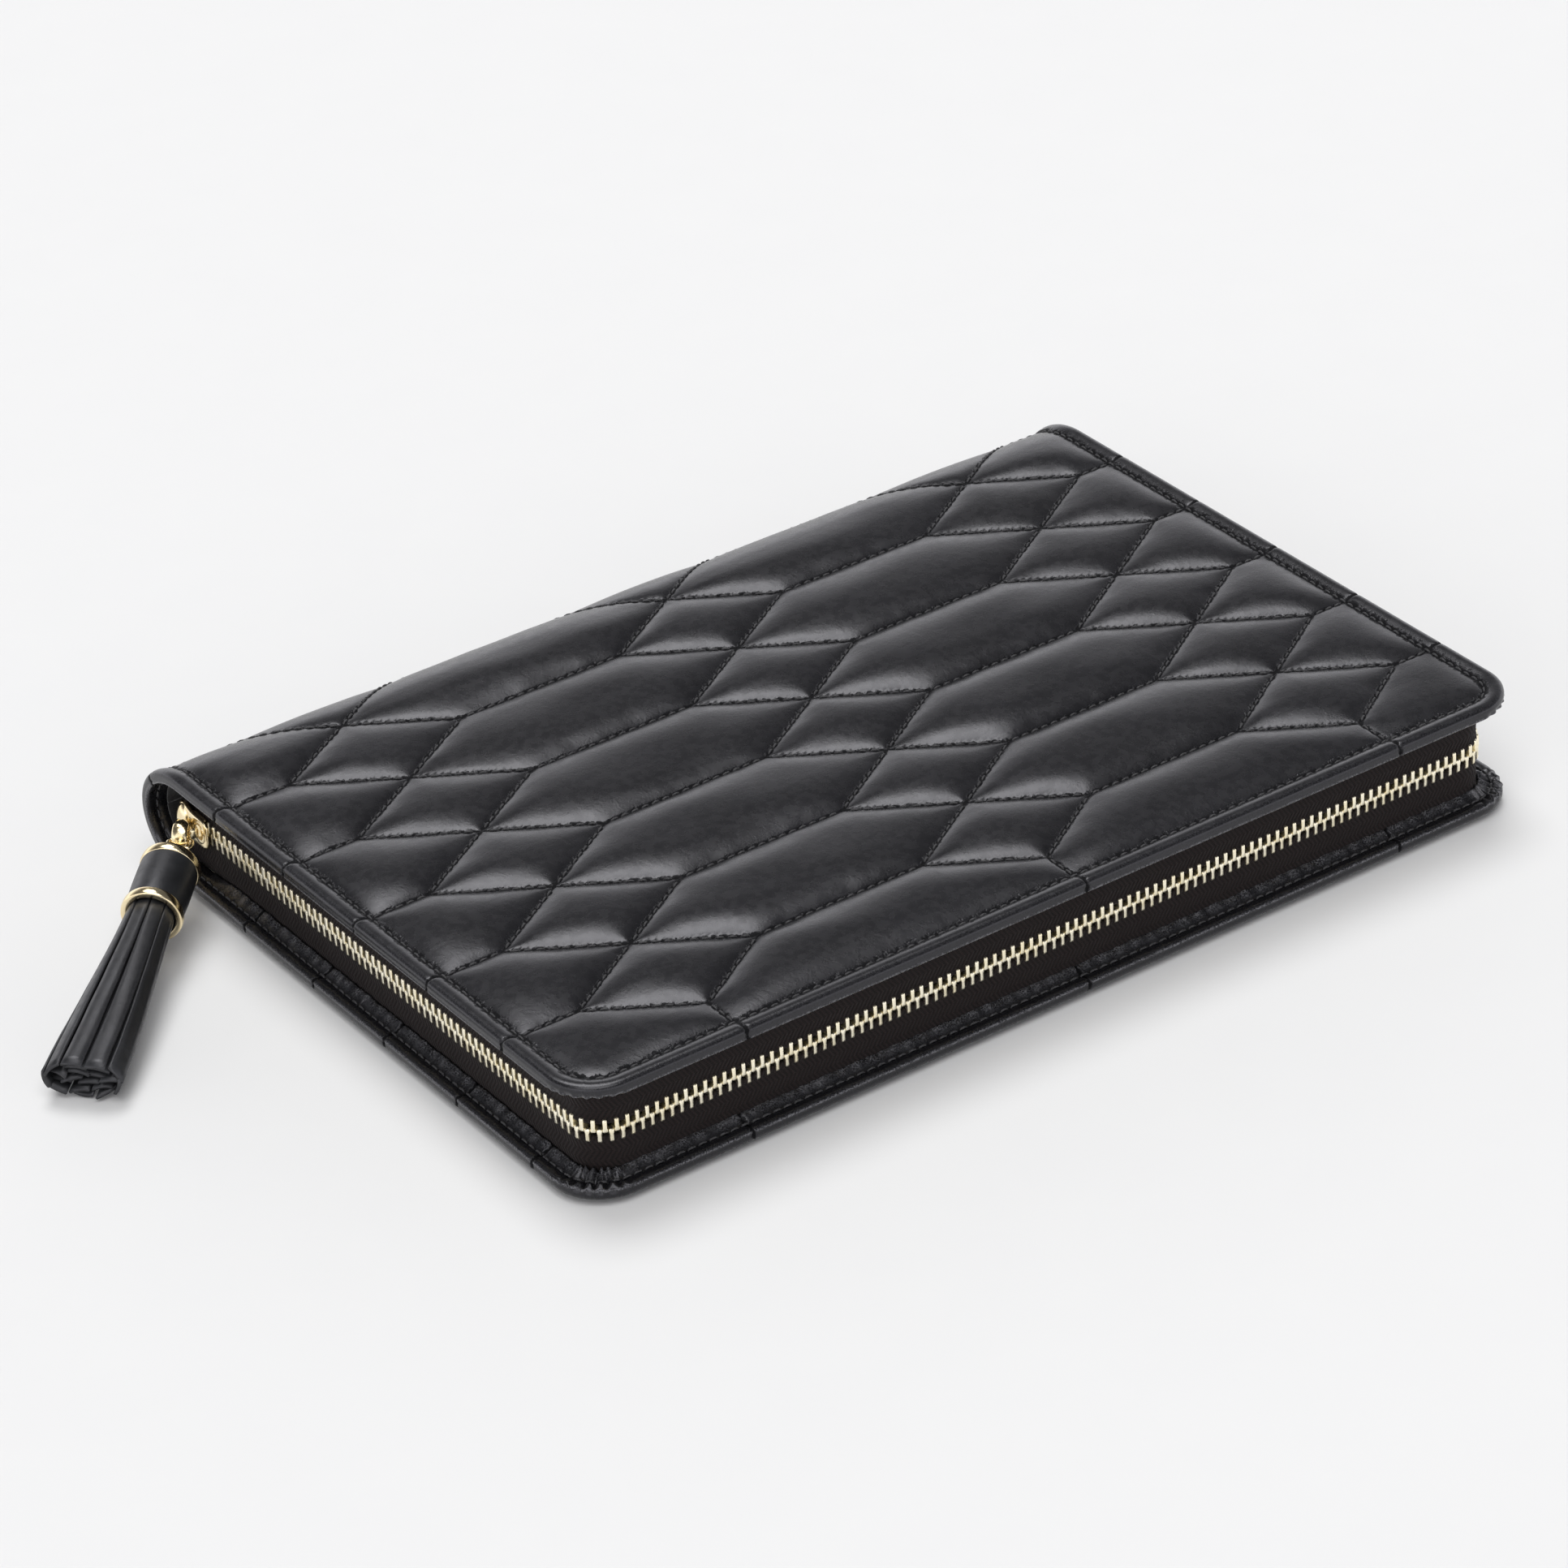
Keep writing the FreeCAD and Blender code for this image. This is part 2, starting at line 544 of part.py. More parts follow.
def build():
    half_x = CASE_LENGTH / 2
    spine_window = (LIP_END_Y, SPINE_START_Y + SPINE_BULGE + 1, SPINE_LOW_Z, SPINE_HIGH_Z)
    strip_window = (LIP_END_Y, SPINE_START_Y + SPINE_BULGE + 1, 0, SPINE_LOW_Z)
    wadding_in = WADDING_Z + WADDING_T
    nodes = {
        "base_cover": cover(),
        "base_wadding": inner_slab(WADDING_Z, BOARD_Z, SPINE_START_Y),
        "base_board": inner_slab(BOARD_Z, RIM_H, SPINE_START_Y),
        "base_lining": lining(),
        "base_gusset": gusset(),
        "lower_zip_tape": zip_tape(),
        "lower_teeth": teeth(TOOTH_PITCH / 2),
        "lower_stops": stops(),
        "lower_hinge_strip": spine_layer(0, LEATHER_T, half_x, *strip_window),
        "spine_cover": spine_layer(0, LEATHER_T, half_x, *spine_window),
        "spine_wadding": spine_layer(LEATHER_T, wadding_in, half_x - 1, *spine_window),
        "spine_lining": spine_layer(wadding_in, wadding_in + LINING_T, half_x - 1, *spine_window),
        "slider_body": slider_body(),
        "slider_bail": slider_bail(),
        "pull_ring": pull_ring(),
        "tassel_bell": tassel_bell(),
        "tassel_top_band": on_tassel(tube(TOP_BAND_R, CAP_BORE_R, BELL_END, CAP_TOP)),
        "tassel_cap": tassel_cap(),
        "tassel_low_band": on_tassel(tube(LOW_BAND_R, LOW_BAND_BORE_R, CAP_END, LOW_BAND_END)),
        "tassel_core": on_tassel(disc(CORE_R, CAP_TOP, CAP_TOP + CORE_LENGTH)),
        "tassel_strands": tassel_strands(),
        "tray_frame": tray_frame(),
        "tray_divider_left": tray_divider(-DIVIDER_X),
        "tray_divider_right": tray_divider(DIVIDER_X),
        "earring_pad": box(PAD_LEFT_X, PAD_RIGHT_X, PAD_FRONT_Y, PAD_REAR_Y, FLOOR_Z,
                           FLOOR_Z + PAD_H),
        "pocket_front_panel": box(-POCKET_HALF_X, POCKET_HALF_X, POCKET_FRONT_Y,
                                  POCKET_SLIT_FRONT_Y, FLOOR_Z, FLOOR_Z + POCKET_H),
        "pocket_rear_panel": box(-POCKET_HALF_X, POCKET_HALF_X, POCKET_SLIT_REAR_Y,
                                 POCKET_REAR_Y, FLOOR_Z, FLOOR_Z + POCKET_H),
        "pocket_zip_tape": box(-POCKET_HALF_X, POCKET_HALF_X, POCKET_SLIT_FRONT_Y,
                               POCKET_SLIT_REAR_Y, FLOOR_Z, COIL_Z),
        "pocket_zip_coil": box(-COIL_HALF_X, COIL_HALF_X, COIL_Y - COIL_HALF_W,
                               COIL_Y + COIL_HALF_W, COIL_Z, COIL_Z + COIL_H),
        "pocket_slider": pocket_slider_body(),
        "pocket_pull": pocket_pull(),
        "lid_cover": lid_half(cover()),
        "lid_wadding": lid_half(inner_slab(WADDING_Z, BOARD_Z, SPINE_START_Y)),
        "lid_board": lid_half(inner_slab(BOARD_Z, RIM_H, SPINE_START_Y)),
        "lid_lining": lid_half(lining()),
        "lid_gusset": lid_half(gusset()),
        "upper_zip_tape": lid_half(zip_tape()),
        "upper_teeth": lid_half(teeth(TOOTH_PITCH)),
        "upper_stops": lid_half(stops()),
        "upper_hinge_strip": lid_half(spine_layer(0, LEATHER_T, half_x, *strip_window)),
        "necklace_pad": box(-POCKET_HALF_X, POCKET_HALF_X, POCKET_FRONT_Y, NECK_PAD_REAR_Y,
                            LINING_Z - NECK_PAD_T, LINING_Z),
        "necklace_hooks": necklace_hooks(),
        "elastic_pocket": elastic_pocket(),
        "elastic_band": box(-ELASTIC_HALF_X, ELASTIC_HALF_X, ELASTIC_FRONT_Y,
                            ELASTIC_FRONT_Y + BAND_LENGTH,
                            LINING_Z - ELASTIC_DEPTH - BAND_DEPTH, LINING_Z - ELASTIC_DEPTH),
    }
    for n in range(ROLL_COUNT):
        nodes[f"ring_roll_{n + 1}"] = ring_roll(ROLL_FIRST_Y + n * ROLL_PITCH)
    return nodes


os.makedirs("parts", exist_ok=True)
for name, shape in build().items():
    if not shape.isValid():
        print("not valid:", name)
    shape.exportStep(f"parts/{name}.step")
    print(f"{name}: {len(shape.Solids)} solids, {shape.Volume:.1f} mm3")
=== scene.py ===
"""Leather jewellery case: quilted wrap, metal zip, tassel pull and fitted interior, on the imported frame."""

import math

import bpy
import numpy as np
from mathutils import Matrix, Vector


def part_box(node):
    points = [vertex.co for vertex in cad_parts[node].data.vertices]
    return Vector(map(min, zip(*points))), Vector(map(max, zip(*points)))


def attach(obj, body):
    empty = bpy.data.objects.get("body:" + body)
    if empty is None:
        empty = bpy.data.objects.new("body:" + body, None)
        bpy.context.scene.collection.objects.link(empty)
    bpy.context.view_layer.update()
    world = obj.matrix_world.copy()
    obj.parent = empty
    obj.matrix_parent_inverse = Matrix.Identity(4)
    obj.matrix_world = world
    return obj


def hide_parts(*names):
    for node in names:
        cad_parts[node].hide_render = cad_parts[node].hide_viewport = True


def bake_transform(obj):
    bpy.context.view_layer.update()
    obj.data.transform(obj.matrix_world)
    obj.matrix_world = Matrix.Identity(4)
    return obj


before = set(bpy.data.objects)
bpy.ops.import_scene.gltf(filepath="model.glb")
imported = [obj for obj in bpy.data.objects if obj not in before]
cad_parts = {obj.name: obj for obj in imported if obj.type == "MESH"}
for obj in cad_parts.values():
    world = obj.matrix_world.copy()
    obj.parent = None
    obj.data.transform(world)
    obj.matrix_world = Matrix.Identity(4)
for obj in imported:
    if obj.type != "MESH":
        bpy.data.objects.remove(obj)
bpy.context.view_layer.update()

MM = 0.001
SEED = 20
# Each half of the case: its word in the names, its body, and whether it is the upper one.
HALVES = (("lower", "base", False), ("upper", "lid", True))
UP = np.array([0.0, 0.0, 1.0])


def box_mm(node):
    """Lowest and highest corner of a CAD node, in millimetres."""
    low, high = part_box(node)
    return np.array(low) / MM, np.array(high) / MM


# ---------------------------------------------------------------- mesh helpers


def smoothstep(x, low, high):
    t = np.clip((np.asarray(x, float) - low) / (high - low), 0, 1)
    return t * t * (3 - 2 * t)


def unit(v):
    v = np.asarray(v, float)
    return v / np.maximum(np.linalg.norm(v, axis=-1, keepdims=True), 1e-12)


def xyz(x, y, z):
    """Points from three coordinates, each an array or one number for all."""
    return np.stack(np.broadcast_arrays(x, y, z), -1)


def walked(line):
    """Distance along a line of points, at each of them."""
    return np.concatenate([[0], np.cumsum(np.linalg.norm(np.diff(line, axis=0), axis=1))])


def pulled_round(a, b, where=True):
    """How a square corner's points are pulled round, from their shares of its two sides.

    Gives which points are in the corner, both shares, with 1 for the other points, and the pull.
    """
    inside = (a > 0) & (b > 0) & where
    a, b = np.where(inside, a, 1.0), np.where(inside, b, 1.0)
    return inside, a, b, np.maximum(a, b) / np.hypot(a, b)


def noise_line(t, seed, octaves=4):
    """Smooth repeatable noise of one variable, about -1 to 1."""
    rng = np.random.default_rng(seed)
    total = np.zeros_like(np.asarray(t, float))
    for octave in range(octaves):
        phase, rate = rng.uniform(0, 2 * math.pi), rng.uniform(0.8, 1.25) * 1.9**octave
        total = total + np.sin(rate * t + phase) / 1.5**octave
    return total / 2.2


def noise_plane(x, y, seed, octaves=5):
    """Smooth repeatable noise of two variables, about -1 to 1."""
    rng = np.random.default_rng(seed)
    total = 0.0
    for octave in range(octaves):
        for _ in range(3):
            turn, phase = rng.uniform(0, 2 * math.pi, 2)
            rate = rng.uniform(0.8, 1.2) * 1.7**octave
            total = total + np.sin(rate * (x * math.cos(turn) + y * math.sin(turn)) + phase) / 1.6**octave
    return total / 3.6


def flipped(faces):
    return [tuple(face)[::-1] for face in faces]


def grid_faces(rows, columns, close_rows=False, close_columns=False):
    """Quads over points laid out row by row."""
    faces = []
    for r in range(rows if close_rows else rows - 1):
        for c in range(columns if close_columns else columns - 1):
            r1, c1 = (r + 1) % rows, (c + 1) % columns
            faces.append((r * columns + c, r * columns + c1, r1 * columns + c1, r1 * columns + c))
    return faces


def ring_faces(rings, count, closed=False, caps=(True, True)):
    """Faces over a row of rings, with a flat cap on the first and on the last, or closed on itself."""
    faces = grid_faces(rings, count, close_rows=closed, close_columns=True)
    if caps[0] and not closed:
        faces.append(tuple(range(count))[::-1])
    if caps[1] and not closed:
        faces.append(tuple(range(count * (rings - 1), count * rings)))
    return faces


def boundary_loop(rows, columns):
    """Numbers of the grid points round the outside."""
    loop = [(0, c) for c in range(columns)]
    loop += [(r, columns - 1) for r in range(1, rows)]
    loop += [(rows - 1, c) for c in range(columns - 2, -1, -1)]
    loop += [(r, 0) for r in range(rows - 2, 0, -1)]
    return np.array(loop) @ (columns, 1)


def skirt_faces(loop, rings, count):
    """Quads from a boundary loop through more rings of as many points, numbered from count on."""
    below = count + np.arange(rings * len(loop)).reshape(rings, -1)
    faces = []
    for upper, lower in zip([loop, *below], below):
        faces += zip(upper, lower, np.roll(lower, -1), np.roll(upper, -1))
    return faces


def add_mesh(name, points, faces, material, attributes=None, normals=None):
    """A smooth mesh from millimetre points. Each point keeps its place at rest for the textures."""
    points = np.asarray(points, float)
    mesh = bpy.data.meshes.new(name)
    mesh.from_pydata((points * MM).tolist(), [], [list(map(int, face)) for face in faces])
    mesh.materials.append(material)
    mesh.polygons.foreach_set("use_smooth", np.full(len(mesh.polygons), True))
    for key, values in {"rest_mm": points, **(attributes or {})}.items():
        values = np.asarray(values, np.float32)
        kind, field = ("FLOAT", "value") if values.ndim == 1 else ("FLOAT_VECTOR", "vector")
        mesh.attributes.new(key, kind, "POINT").data.foreach_set(field, values.ravel())
    mesh.update()
    if normals is not None:
        mesh.normals_split_custom_set_from_vertices(np.asarray(normals, float).tolist())
    piece = bpy.data.objects.new(name, mesh)
    bpy.context.scene.collection.objects.link(piece)
    return piece


class Builder:
    """Gathers points and faces, with named values for each point."""

    def __init__(self, keys=()):
        self.points, self.faces, self.count = [], [], 0
        self.values = {key: [] for key in keys}

    def add(self, points, faces, **values):
        self.points.append(np.asarray(points, float))
        self.faces += [[v + self.count for v in face] for face in faces]
        for key, kept in self.values.items():
            kept.append(np.broadcast_to(np.asarray(values.get(key, 0.0), float), (len(points),)))
        self.count += len(points)

    def mesh(self, name, material):
        attributes = {key: np.concatenate(kept) for key, kept in self.values.items()}
        return add_mesh(name, np.concatenate(self.points), self.faces, material, attributes)


def settle(piece, body, nodes=()):
    """Puts a finished piece on its body, and hides the CAD nodes it stands for."""
    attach(piece, body)
    if nodes:
        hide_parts(*nodes)


# ---------------------------------------------------------------- materials


class Nodes:
    """Short calls for building one material's node tree."""

    def __init__(self, name):
        self.material = bpy.data.materials.new(name)
        self.material.use_nodes = True
        self.tree = self.material.node_tree
        self.shader = self.tree.nodes["Principled BSDF"]

    def node(self, kind, **settings):
        made = self.tree.nodes.new(kind)
        for key, value in settings.items():
            setattr(made, key, value)
        return made

    def link(self, out, into):
        self.tree.links.new(out, into)

    def fill(self, node, **numbers):
        """Sets a node's inputs by name, with an underscore for each space."""
        for key, number in numbers.items():
            node.inputs[key.replace("_", " ")].default_value = number

    def attribute(self, name, output="Vector"):
        return self.node("ShaderNodeAttribute", attribute_name=name).outputs[output]

    def object_mm(self):
        """A carried-over CAD node has no rest_mm, so its own coordinates stand in."""
        return self.scaled(self.node("ShaderNodeTexCoord").outputs["Object"], 1 / MM, 1 / MM, 1 / MM)

    def scaled(self, vector, x, y, z):
        made = self.node("ShaderNodeVectorMath", operation="MULTIPLY")
        self.link(vector, made.inputs[0])
        made.inputs[1].default_value = (x, y, z)
        return made.outputs[0]

    def math(self, operation, *values):
        made = self.node("ShaderNodeMath", operation=operation)
        for index, value in enumerate(values):
            if isinstance(value, (int, float)):
                made.inputs[index].default_value = value
            else:
                self.link(value, made.inputs[index])
        return made.outputs[0]

    def total(self, *terms):
        """The sum of values, each times its weight."""
        parts = [self.math("MULTIPLY", value, weight) for value, weight in terms]
        result = parts[0]
        for part in parts[1:]:
            result = self.math("ADD", result, part)
        return result

    def wave(self, value):
        """The value's sine, brought to 0 to 1."""
        return self.math("ADD", self.math("MULTIPLY", self.math("SINE", value), 0.5), 0.5)

    def noise(self, vector, scale, detail=3.0, rough=0.55, distortion=0.0):
        made = self.node("ShaderNodeTexNoise")
        self.fill(made, Scale=scale, Detail=detail, Roughness=rough, Distortion=distortion)
        self.link(vector, made.inputs["Vector"])
        return made.outputs["Fac"]

    def cells(self, vector, scale):
        made = self.node("ShaderNodeTexVoronoi")
        self.fill(made, Scale=scale)
        self.link(vector, made.inputs["Vector"])
        return made.outputs["Distance"]

    def ramp(self, value, low, high, to_low=0.0, to_high=1.0):
        made = self.node("ShaderNodeMapRange", interpolation_type="SMOOTHSTEP")
        self.fill(made, From_Min=low, From_Max=high, To_Min=to_low, To_Max=to_high)
        self.link(value, made.inputs["Value"])
        return made.outputs["Result"]

    def mix(self, factor, a, b):
        made = self.node("ShaderNodeMix", data_type="RGBA")
        sockets = {(s.name, s.type): s for s in made.inputs}
        for key, value in (("A", a), ("B", b)):
            if isinstance(value, tuple):
                sockets[key, "RGBA"].default_value = (*value, 1.0)
            else:
                self.link(value, sockets[key, "RGBA"])
        self.link(factor, sockets["Factor", "VALUE"])
        return next(s for s in made.outputs if s.type == "RGBA")

    def finish(self, colour, roughness, height, grain, **numbers):
        """Links up the shader. A height of 1 stands for grain millimetres; numbers are even all over."""
        bump = self.node("ShaderNodeBump")
        self.fill(bump, Strength=1.0, Distance=grain * MM)
        self.link(height, bump.inputs["Height"])
        self.link(bump.outputs["Normal"], self.shader.inputs["Normal"])
        self.link(colour, self.shader.inputs["Base Color"])
        self.link(roughness, self.shader.inputs["Roughness"])
        self.fill(self.shader, **numbers)
        return self.material


# Grey mixed in where the rub value is high: worn edges, and painted highlights along the rims.
WEAR_AND_HIGHLIGHT_GREY = (0.1, 0.1, 0.108)
# Near-black painted into the seam grooves: painted shade, with the dark of the thread.
SEAM_SHADE = (0.003, 0.003, 0.0035)
LEATHER_GRAIN = 0.042


def leather_material(name, dark, light, rough):
    """Smooth nappa: fine pores and soft creases, with painted shade in the seams, and a paler grey for edge
    wear and painted highlights.
    """
    n = Nodes(name)
    rest = n.attribute("rest_mm")
    mottled = n.mix(n.ramp(n.noise(rest, 0.055), 0.35, 0.7), dark, light)
    fine = n.noise(rest, 2.6, 2.0)
    crease = n.noise(rest, 0.33, 4.0, 0.6, 1.1)
    # Paler grey where the mesh's rub value is high: partly edge wear, partly painted highlight.
    wear_and_highlight_mask = n.math("MULTIPLY", n.attribute("rub", "Fac"), n.ramp(fine, 0.35, 0.75))
    seam_edge = n.ramp(n.noise(rest, 0.75, 2.0), 0.3, 0.7, -0.3, 0.3)
    ragged = n.math("ADD", n.attribute("seam_mm", "Fac"), seam_edge)
    # in_seam: painted shade along the seams, which are also rougher and sunk by the bump.
    in_seam = n.ramp(ragged, 0.2, 0.75, 1.0, 0.0)
    n.link(n.ramp(ragged, 0.15, 0.8, 0.1, 0.5), n.shader.inputs["Specular IOR Level"])
    sheen = n.ramp(n.noise(rest, 0.4, 4.0), 0.3, 0.7, *rough)
    return n.finish(
        n.mix(in_seam, n.mix(wear_and_highlight_mask, mottled, WEAR_AND_HIGHLIGHT_GREY), SEAM_SHADE),
        n.math("ADD", sheen, n.math("MULTIPLY", in_seam, 0.35)),
        n.total((n.cells(rest, 1.45), 0.16), (crease, 0.9), (fine, 0.2), (in_seam, -4.0)),
        LEATHER_GRAIN,
        IOR=1.5,
        Specular_Tint=(0.955, 0.945, 1.0, 1.0),
    )


def thread_material(name, colour, paler):
    """Twisted sewing thread."""
    n = Nodes(name)
    ply = n.noise(n.attribute("rest_mm"), 3.5, 2.0)
    return n.finish(n.mix(n.ramp(ply, 0.4, 0.65), colour, paler), n.ramp(ply, 0.3, 0.7, 0.45, 0.7), ply, 0.08)


def gold_material(name, bright, deep, rough):
    """Light gold plating with fine polishing marks and slight tarnish in patches."""
    n = Nodes(name)
    rest = n.attribute("rest_mm")
    colour = n.mix(n.ramp(n.noise(rest, 0.22), 0.35, 0.7), bright, deep)
    marks = n.noise(n.scaled(rest, 0.5, 0.5, 5.0), 1.4)
    return n.finish(colour, n.ramp(marks, 0.3, 0.7, *rough), marks, 0.012, Metallic=1.0)


# Weave colours: painted shade in the valleys, painted highlight on the ribs; the fuzz is the yarn's own
# lighter tone.
TAPE_VALLEY_SHADE = (0.0042, 0.0021, 0.0019)
TAPE_RIB_HIGHLIGHT = (0.012, 0.0072, 0.0068)
TAPE_FUZZ = (0.017, 0.0115, 0.011)
RIB_RATE = 5.2
CHEVRON_WIDTH, CHEVRON_SLANT = 2.6, 3.4
YARN_RATE = 16.0
TAPE_RELIEF = 0.16


def tape_material():
    """Dark zip tape woven in a herringbone, its ribs about a millimetre apart, with painted shade in the
    valleys and painted highlight on the ribs.
    """
    n = Nodes("zip_tape_herringbone")
    split = n.node("ShaderNodeSeparateXYZ")
    n.link(n.attribute("weave_mm"), split.inputs[0])
    along, across = split.outputs["X"], split.outputs["Y"]
    chevron = n.math("PINGPONG", across, CHEVRON_WIDTH)
    rib = n.wave(n.total((along, RIB_RATE), (chevron, CHEVRON_SLANT)))
    yarn = n.wave(n.math("MULTIPLY", across, YARN_RATE))
    fuzz = n.noise(n.attribute("rest_mm"), 3.0)
    # Painted shade in the weave's valleys, painted highlight on its ribs.
    body = n.mix(n.ramp(rib, 0.1, 0.9), TAPE_VALLEY_SHADE, TAPE_RIB_HIGHLIGHT)
    return n.finish(
        n.mix(n.ramp(fuzz, 0.45, 0.8), body, TAPE_FUZZ),
        n.ramp(fuzz, 0.3, 0.7, 0.78, 0.95),
        n.total((rib, 1.0), (yarn, 0.25), (fuzz, 0.4)),
        TAPE_RELIEF,
        Specular_IOR_Level=0.25,
        Sheen_Weight=0.03,
        Sheen_Roughness=0.5,
    )


def suede_material(name, deep, raised):
    """Microfibre suede with a brushed nap."""
    n = Nodes(name)
    rest = n.attribute("rest_mm")
    fibre = n.noise(n.scaled(rest, 1.0, 2.2, 1.0), 2.2, 4.0)
    speck = n.noise(rest, 7.0, 2.0)
    shade = tuple(0.75 * a + 0.25 * b for a, b in zip(deep, raised))
    brushed = n.mix(n.ramp(n.noise(rest, 0.16, 4.0, 0.6, 0.6), 0.25, 0.75), shade, raised)
    body = n.mix(n.ramp(speck, 0.42, 0.66), deep, brushed)
    return n.finish(
        n.mix(n.ramp(fibre, 0.45, 0.8, 0.0, 0.55), body, tuple(1.6 * value for value in raised)),
        n.ramp(fibre, 0.3, 0.7, 0.85, 1.0),
        n.total((fibre, 1.0), (speck, 0.6)),
        0.16,
        Sheen_Weight=0.35,
        Sheen_Roughness=0.4,
    )


BOARD_DARK, BOARD_LIGHT = (0.13, 0.125, 0.115), (0.22, 0.21, 0.19)


def board_material():
    """Grey pressed board with short fibres."""
    n = Nodes("pressed_board")
    fibre = n.noise(n.scaled(n.object_mm(), 1.0, 2.5, 1.0), 1.2, 4.0)
    colour = n.mix(n.ramp(fibre, 0.35, 0.7), BOARD_DARK, BOARD_LIGHT)
    return n.finish(colour, n.ramp(fibre, 0.3, 0.7, 0.8, 0.95), fibre, 0.1)


LEATHER = leather_material("black_nappa", (0.0045, 0.0045, 0.0055), (0.0065, 0.0065, 0.008), (0.245, 0.3))
TASSEL_SHADES = ((0.012, 0.0125, 0.0135), (0.022, 0.023, 0.025))
TASSEL_LEATHER = leather_material("tassel_nappa", *TASSEL_SHADES, (0.32, 0.45))
THREAD = thread_material("black_thread", (0.01, 0.01, 0.011), (0.055, 0.054, 0.058))
GOLD = gold_material("light_gold_plate", (0.95, 0.82, 0.55), (0.86, 0.7, 0.42), (0.12, 0.24))
TOOTH_GOLD = gold_material("pale_gold_teeth", (1.0, 0.94, 0.76), (0.94, 0.85, 0.61), (0.26, 0.38))
TAPE = tape_material()
SUEDE = suede_material("charcoal_suede", (0.02, 0.019, 0.02), (0.042, 0.04, 0.041))
PAD_SUEDE = suede_material("grey_suede", (0.045, 0.043, 0.044), (0.085, 0.082, 0.083))
PAD_THREAD = thread_material("grey_thread", (0.1, 0.097, 0.098), (0.17, 0.165, 0.166))
SPINE_SUEDE = suede_material("black_suede", (0.009, 0.0085, 0.009), (0.02, 0.019, 0.02))
COIL_NYLON = thread_material("black_nylon_coil", (0.008, 0.008, 0.009), (0.022, 0.022, 0.024))


# ---------------------------------------------------------------- the quilted leather wrap

BASE_LOW, BASE_HIGH = box_mm("base_cover")
HALF_X = float(BASE_HIGH[0])
FRONT_Y = float(BASE_LOW[1])
HEIGHT = float(box_mm("lid_cover")[1][2])
MID_Z = HEIGHT / 2
SPINE_Y = 80.0
BULGE = float(box_mm("spine_cover")[1][1]) - SPINE_Y
CORNER = 13.2

# The quilting is drawn on a flat pattern: x across the case, q from the lid's front edge round to the base's.
PITCH = 31.35
DIAMOND = 24.5
COLUMNS = (-91.4, 3.6, 97.0)
FIRST_CROSSING = -79.6
SPINE_PATTERN = 48.1
Q_FRONT = FRONT_Y
Q_LID_END = SPINE_Y
Q_BASE_START = SPINE_Y + SPINE_PATTERN
Q_END = Q_BASE_START + SPINE_Y - FRONT_Y
Q_SPINE_MID = (Q_LID_END + Q_BASE_START) / 2
Q_LIMITS = (-1e9, Q_LID_END, Q_SPINE_MID, Q_BASE_START, 1e9)

# The grid steps finely beside each seam and each rim.
STEPS = 16
THREAD_STEP = 0.35 / (PITCH / 2)
LONG_STEP = 1.25
CORNER_STEPS = 14
STITCH_INSET = 4.8
RIM_INSETS = (0.0, 0.12, 0.4, 0.85, 1.5, 2.4, 3.4, 4.1, 4.5, STITCH_INSET)
RIM_HEIGHTS = (-1.5, -0.95, -0.55, -0.3, -0.14, -0.16, -0.42, -0.7, -0.88, -1.15)
EDGE_INSETS = np.array([*RIM_INSETS, *np.linspace(STITCH_INSET, CORNER, CORNER_STEPS + 1)[1:]])

# Padding.
SEAM_DEPTH = -1.1
SEAM_PRESS = 0.14
CROWN = 2.75
PUFF_LENGTH = 6.0
PUFF_ROUNDS = 420
THIN_CORNER = 16.0
THIN_REACH = 15.0
THIN_SHARE = 0.34
TAUT_SHARE = 0.62
LOFT_VARIES, LOFT_SPAN = 0.22, 21
PUCKER, PUCKER_SPAN, PUCKER_FADE = 0.13, 2.6, 3.5
DENT, DENT_SPAN = 0.07, 7
BASE_LIFT = 1.1
LOWEST = 0.05
ON_LINE = 1e-6

# The turned-over edge: how far out, how far below the outer face, and its share of the inner strip's curl.
UNDER_RINGS = (
    (0.0, -2.0, 0.0), (-0.02, -2.45, 0.0), (0.1, -2.7, 0.0), (0.1, -3.0, 0.0), (-0.2, -3.35, 0.0),
    (-0.9, -3.5, 0.0), (-1.6, -3.58, 0.0), (-2.3, -3.5, 0.0), (-2.8, -3.42, 0.0), (-3.3, -3.5, 0.0),
    (-3.8, -3.6, 0.12), (-4.4, -3.66, 0.35), (-5.0, -3.7, 0.62), (-5.6, -3.68, 0.88), (-6.05, -3.6, 1.0),
    (-6.25, -3.1, 0.0),
)
CURL = 1.3
UNDER_STITCH_INSET = 2.8
UNDER_STITCH_DEPTH = -3.58
RIM_SEAM_SHARPNESS = 0.6
# A pale band near the rim's outer edge: edge wear and painted highlight.
RIM_WEAR_AND_HIGHLIGHT, RIM_PALE_INSET, RIM_PALE_WIDTH = 0.3, 0.7, 0.6
# Painted highlight: a pale line along the rim's lower edge.
EDGE_HIGHLIGHT = 2.0
# Painted light: paler grey on the curled inner strip of the flange.
CURL_PAINTED_LIGHT = 0.9
NO_SEAM = 9.0
PLEAT_RATE = 28
PLEAT_DEPTH = 0.6
PLEAT_TUCK = 0.38
NOTCH = 0.3
NOTCH_WIDTH = 0.32
RIPPLE_LONG, RIPPLE_SHORT = 0.06, 0.1
CRINKLE = 0.26
STITCH_DIP, STITCH_DIP_WIDTH = 0.16, 0.5


def fractions():
    """Steps across half a diamond, with a fine step at both ends, so that the seams fall on grid points."""
    return [0.0, THREAD_STEP, *[k / STEPS for k in range(1, STEPS)], 1 - THREAD_STEP]


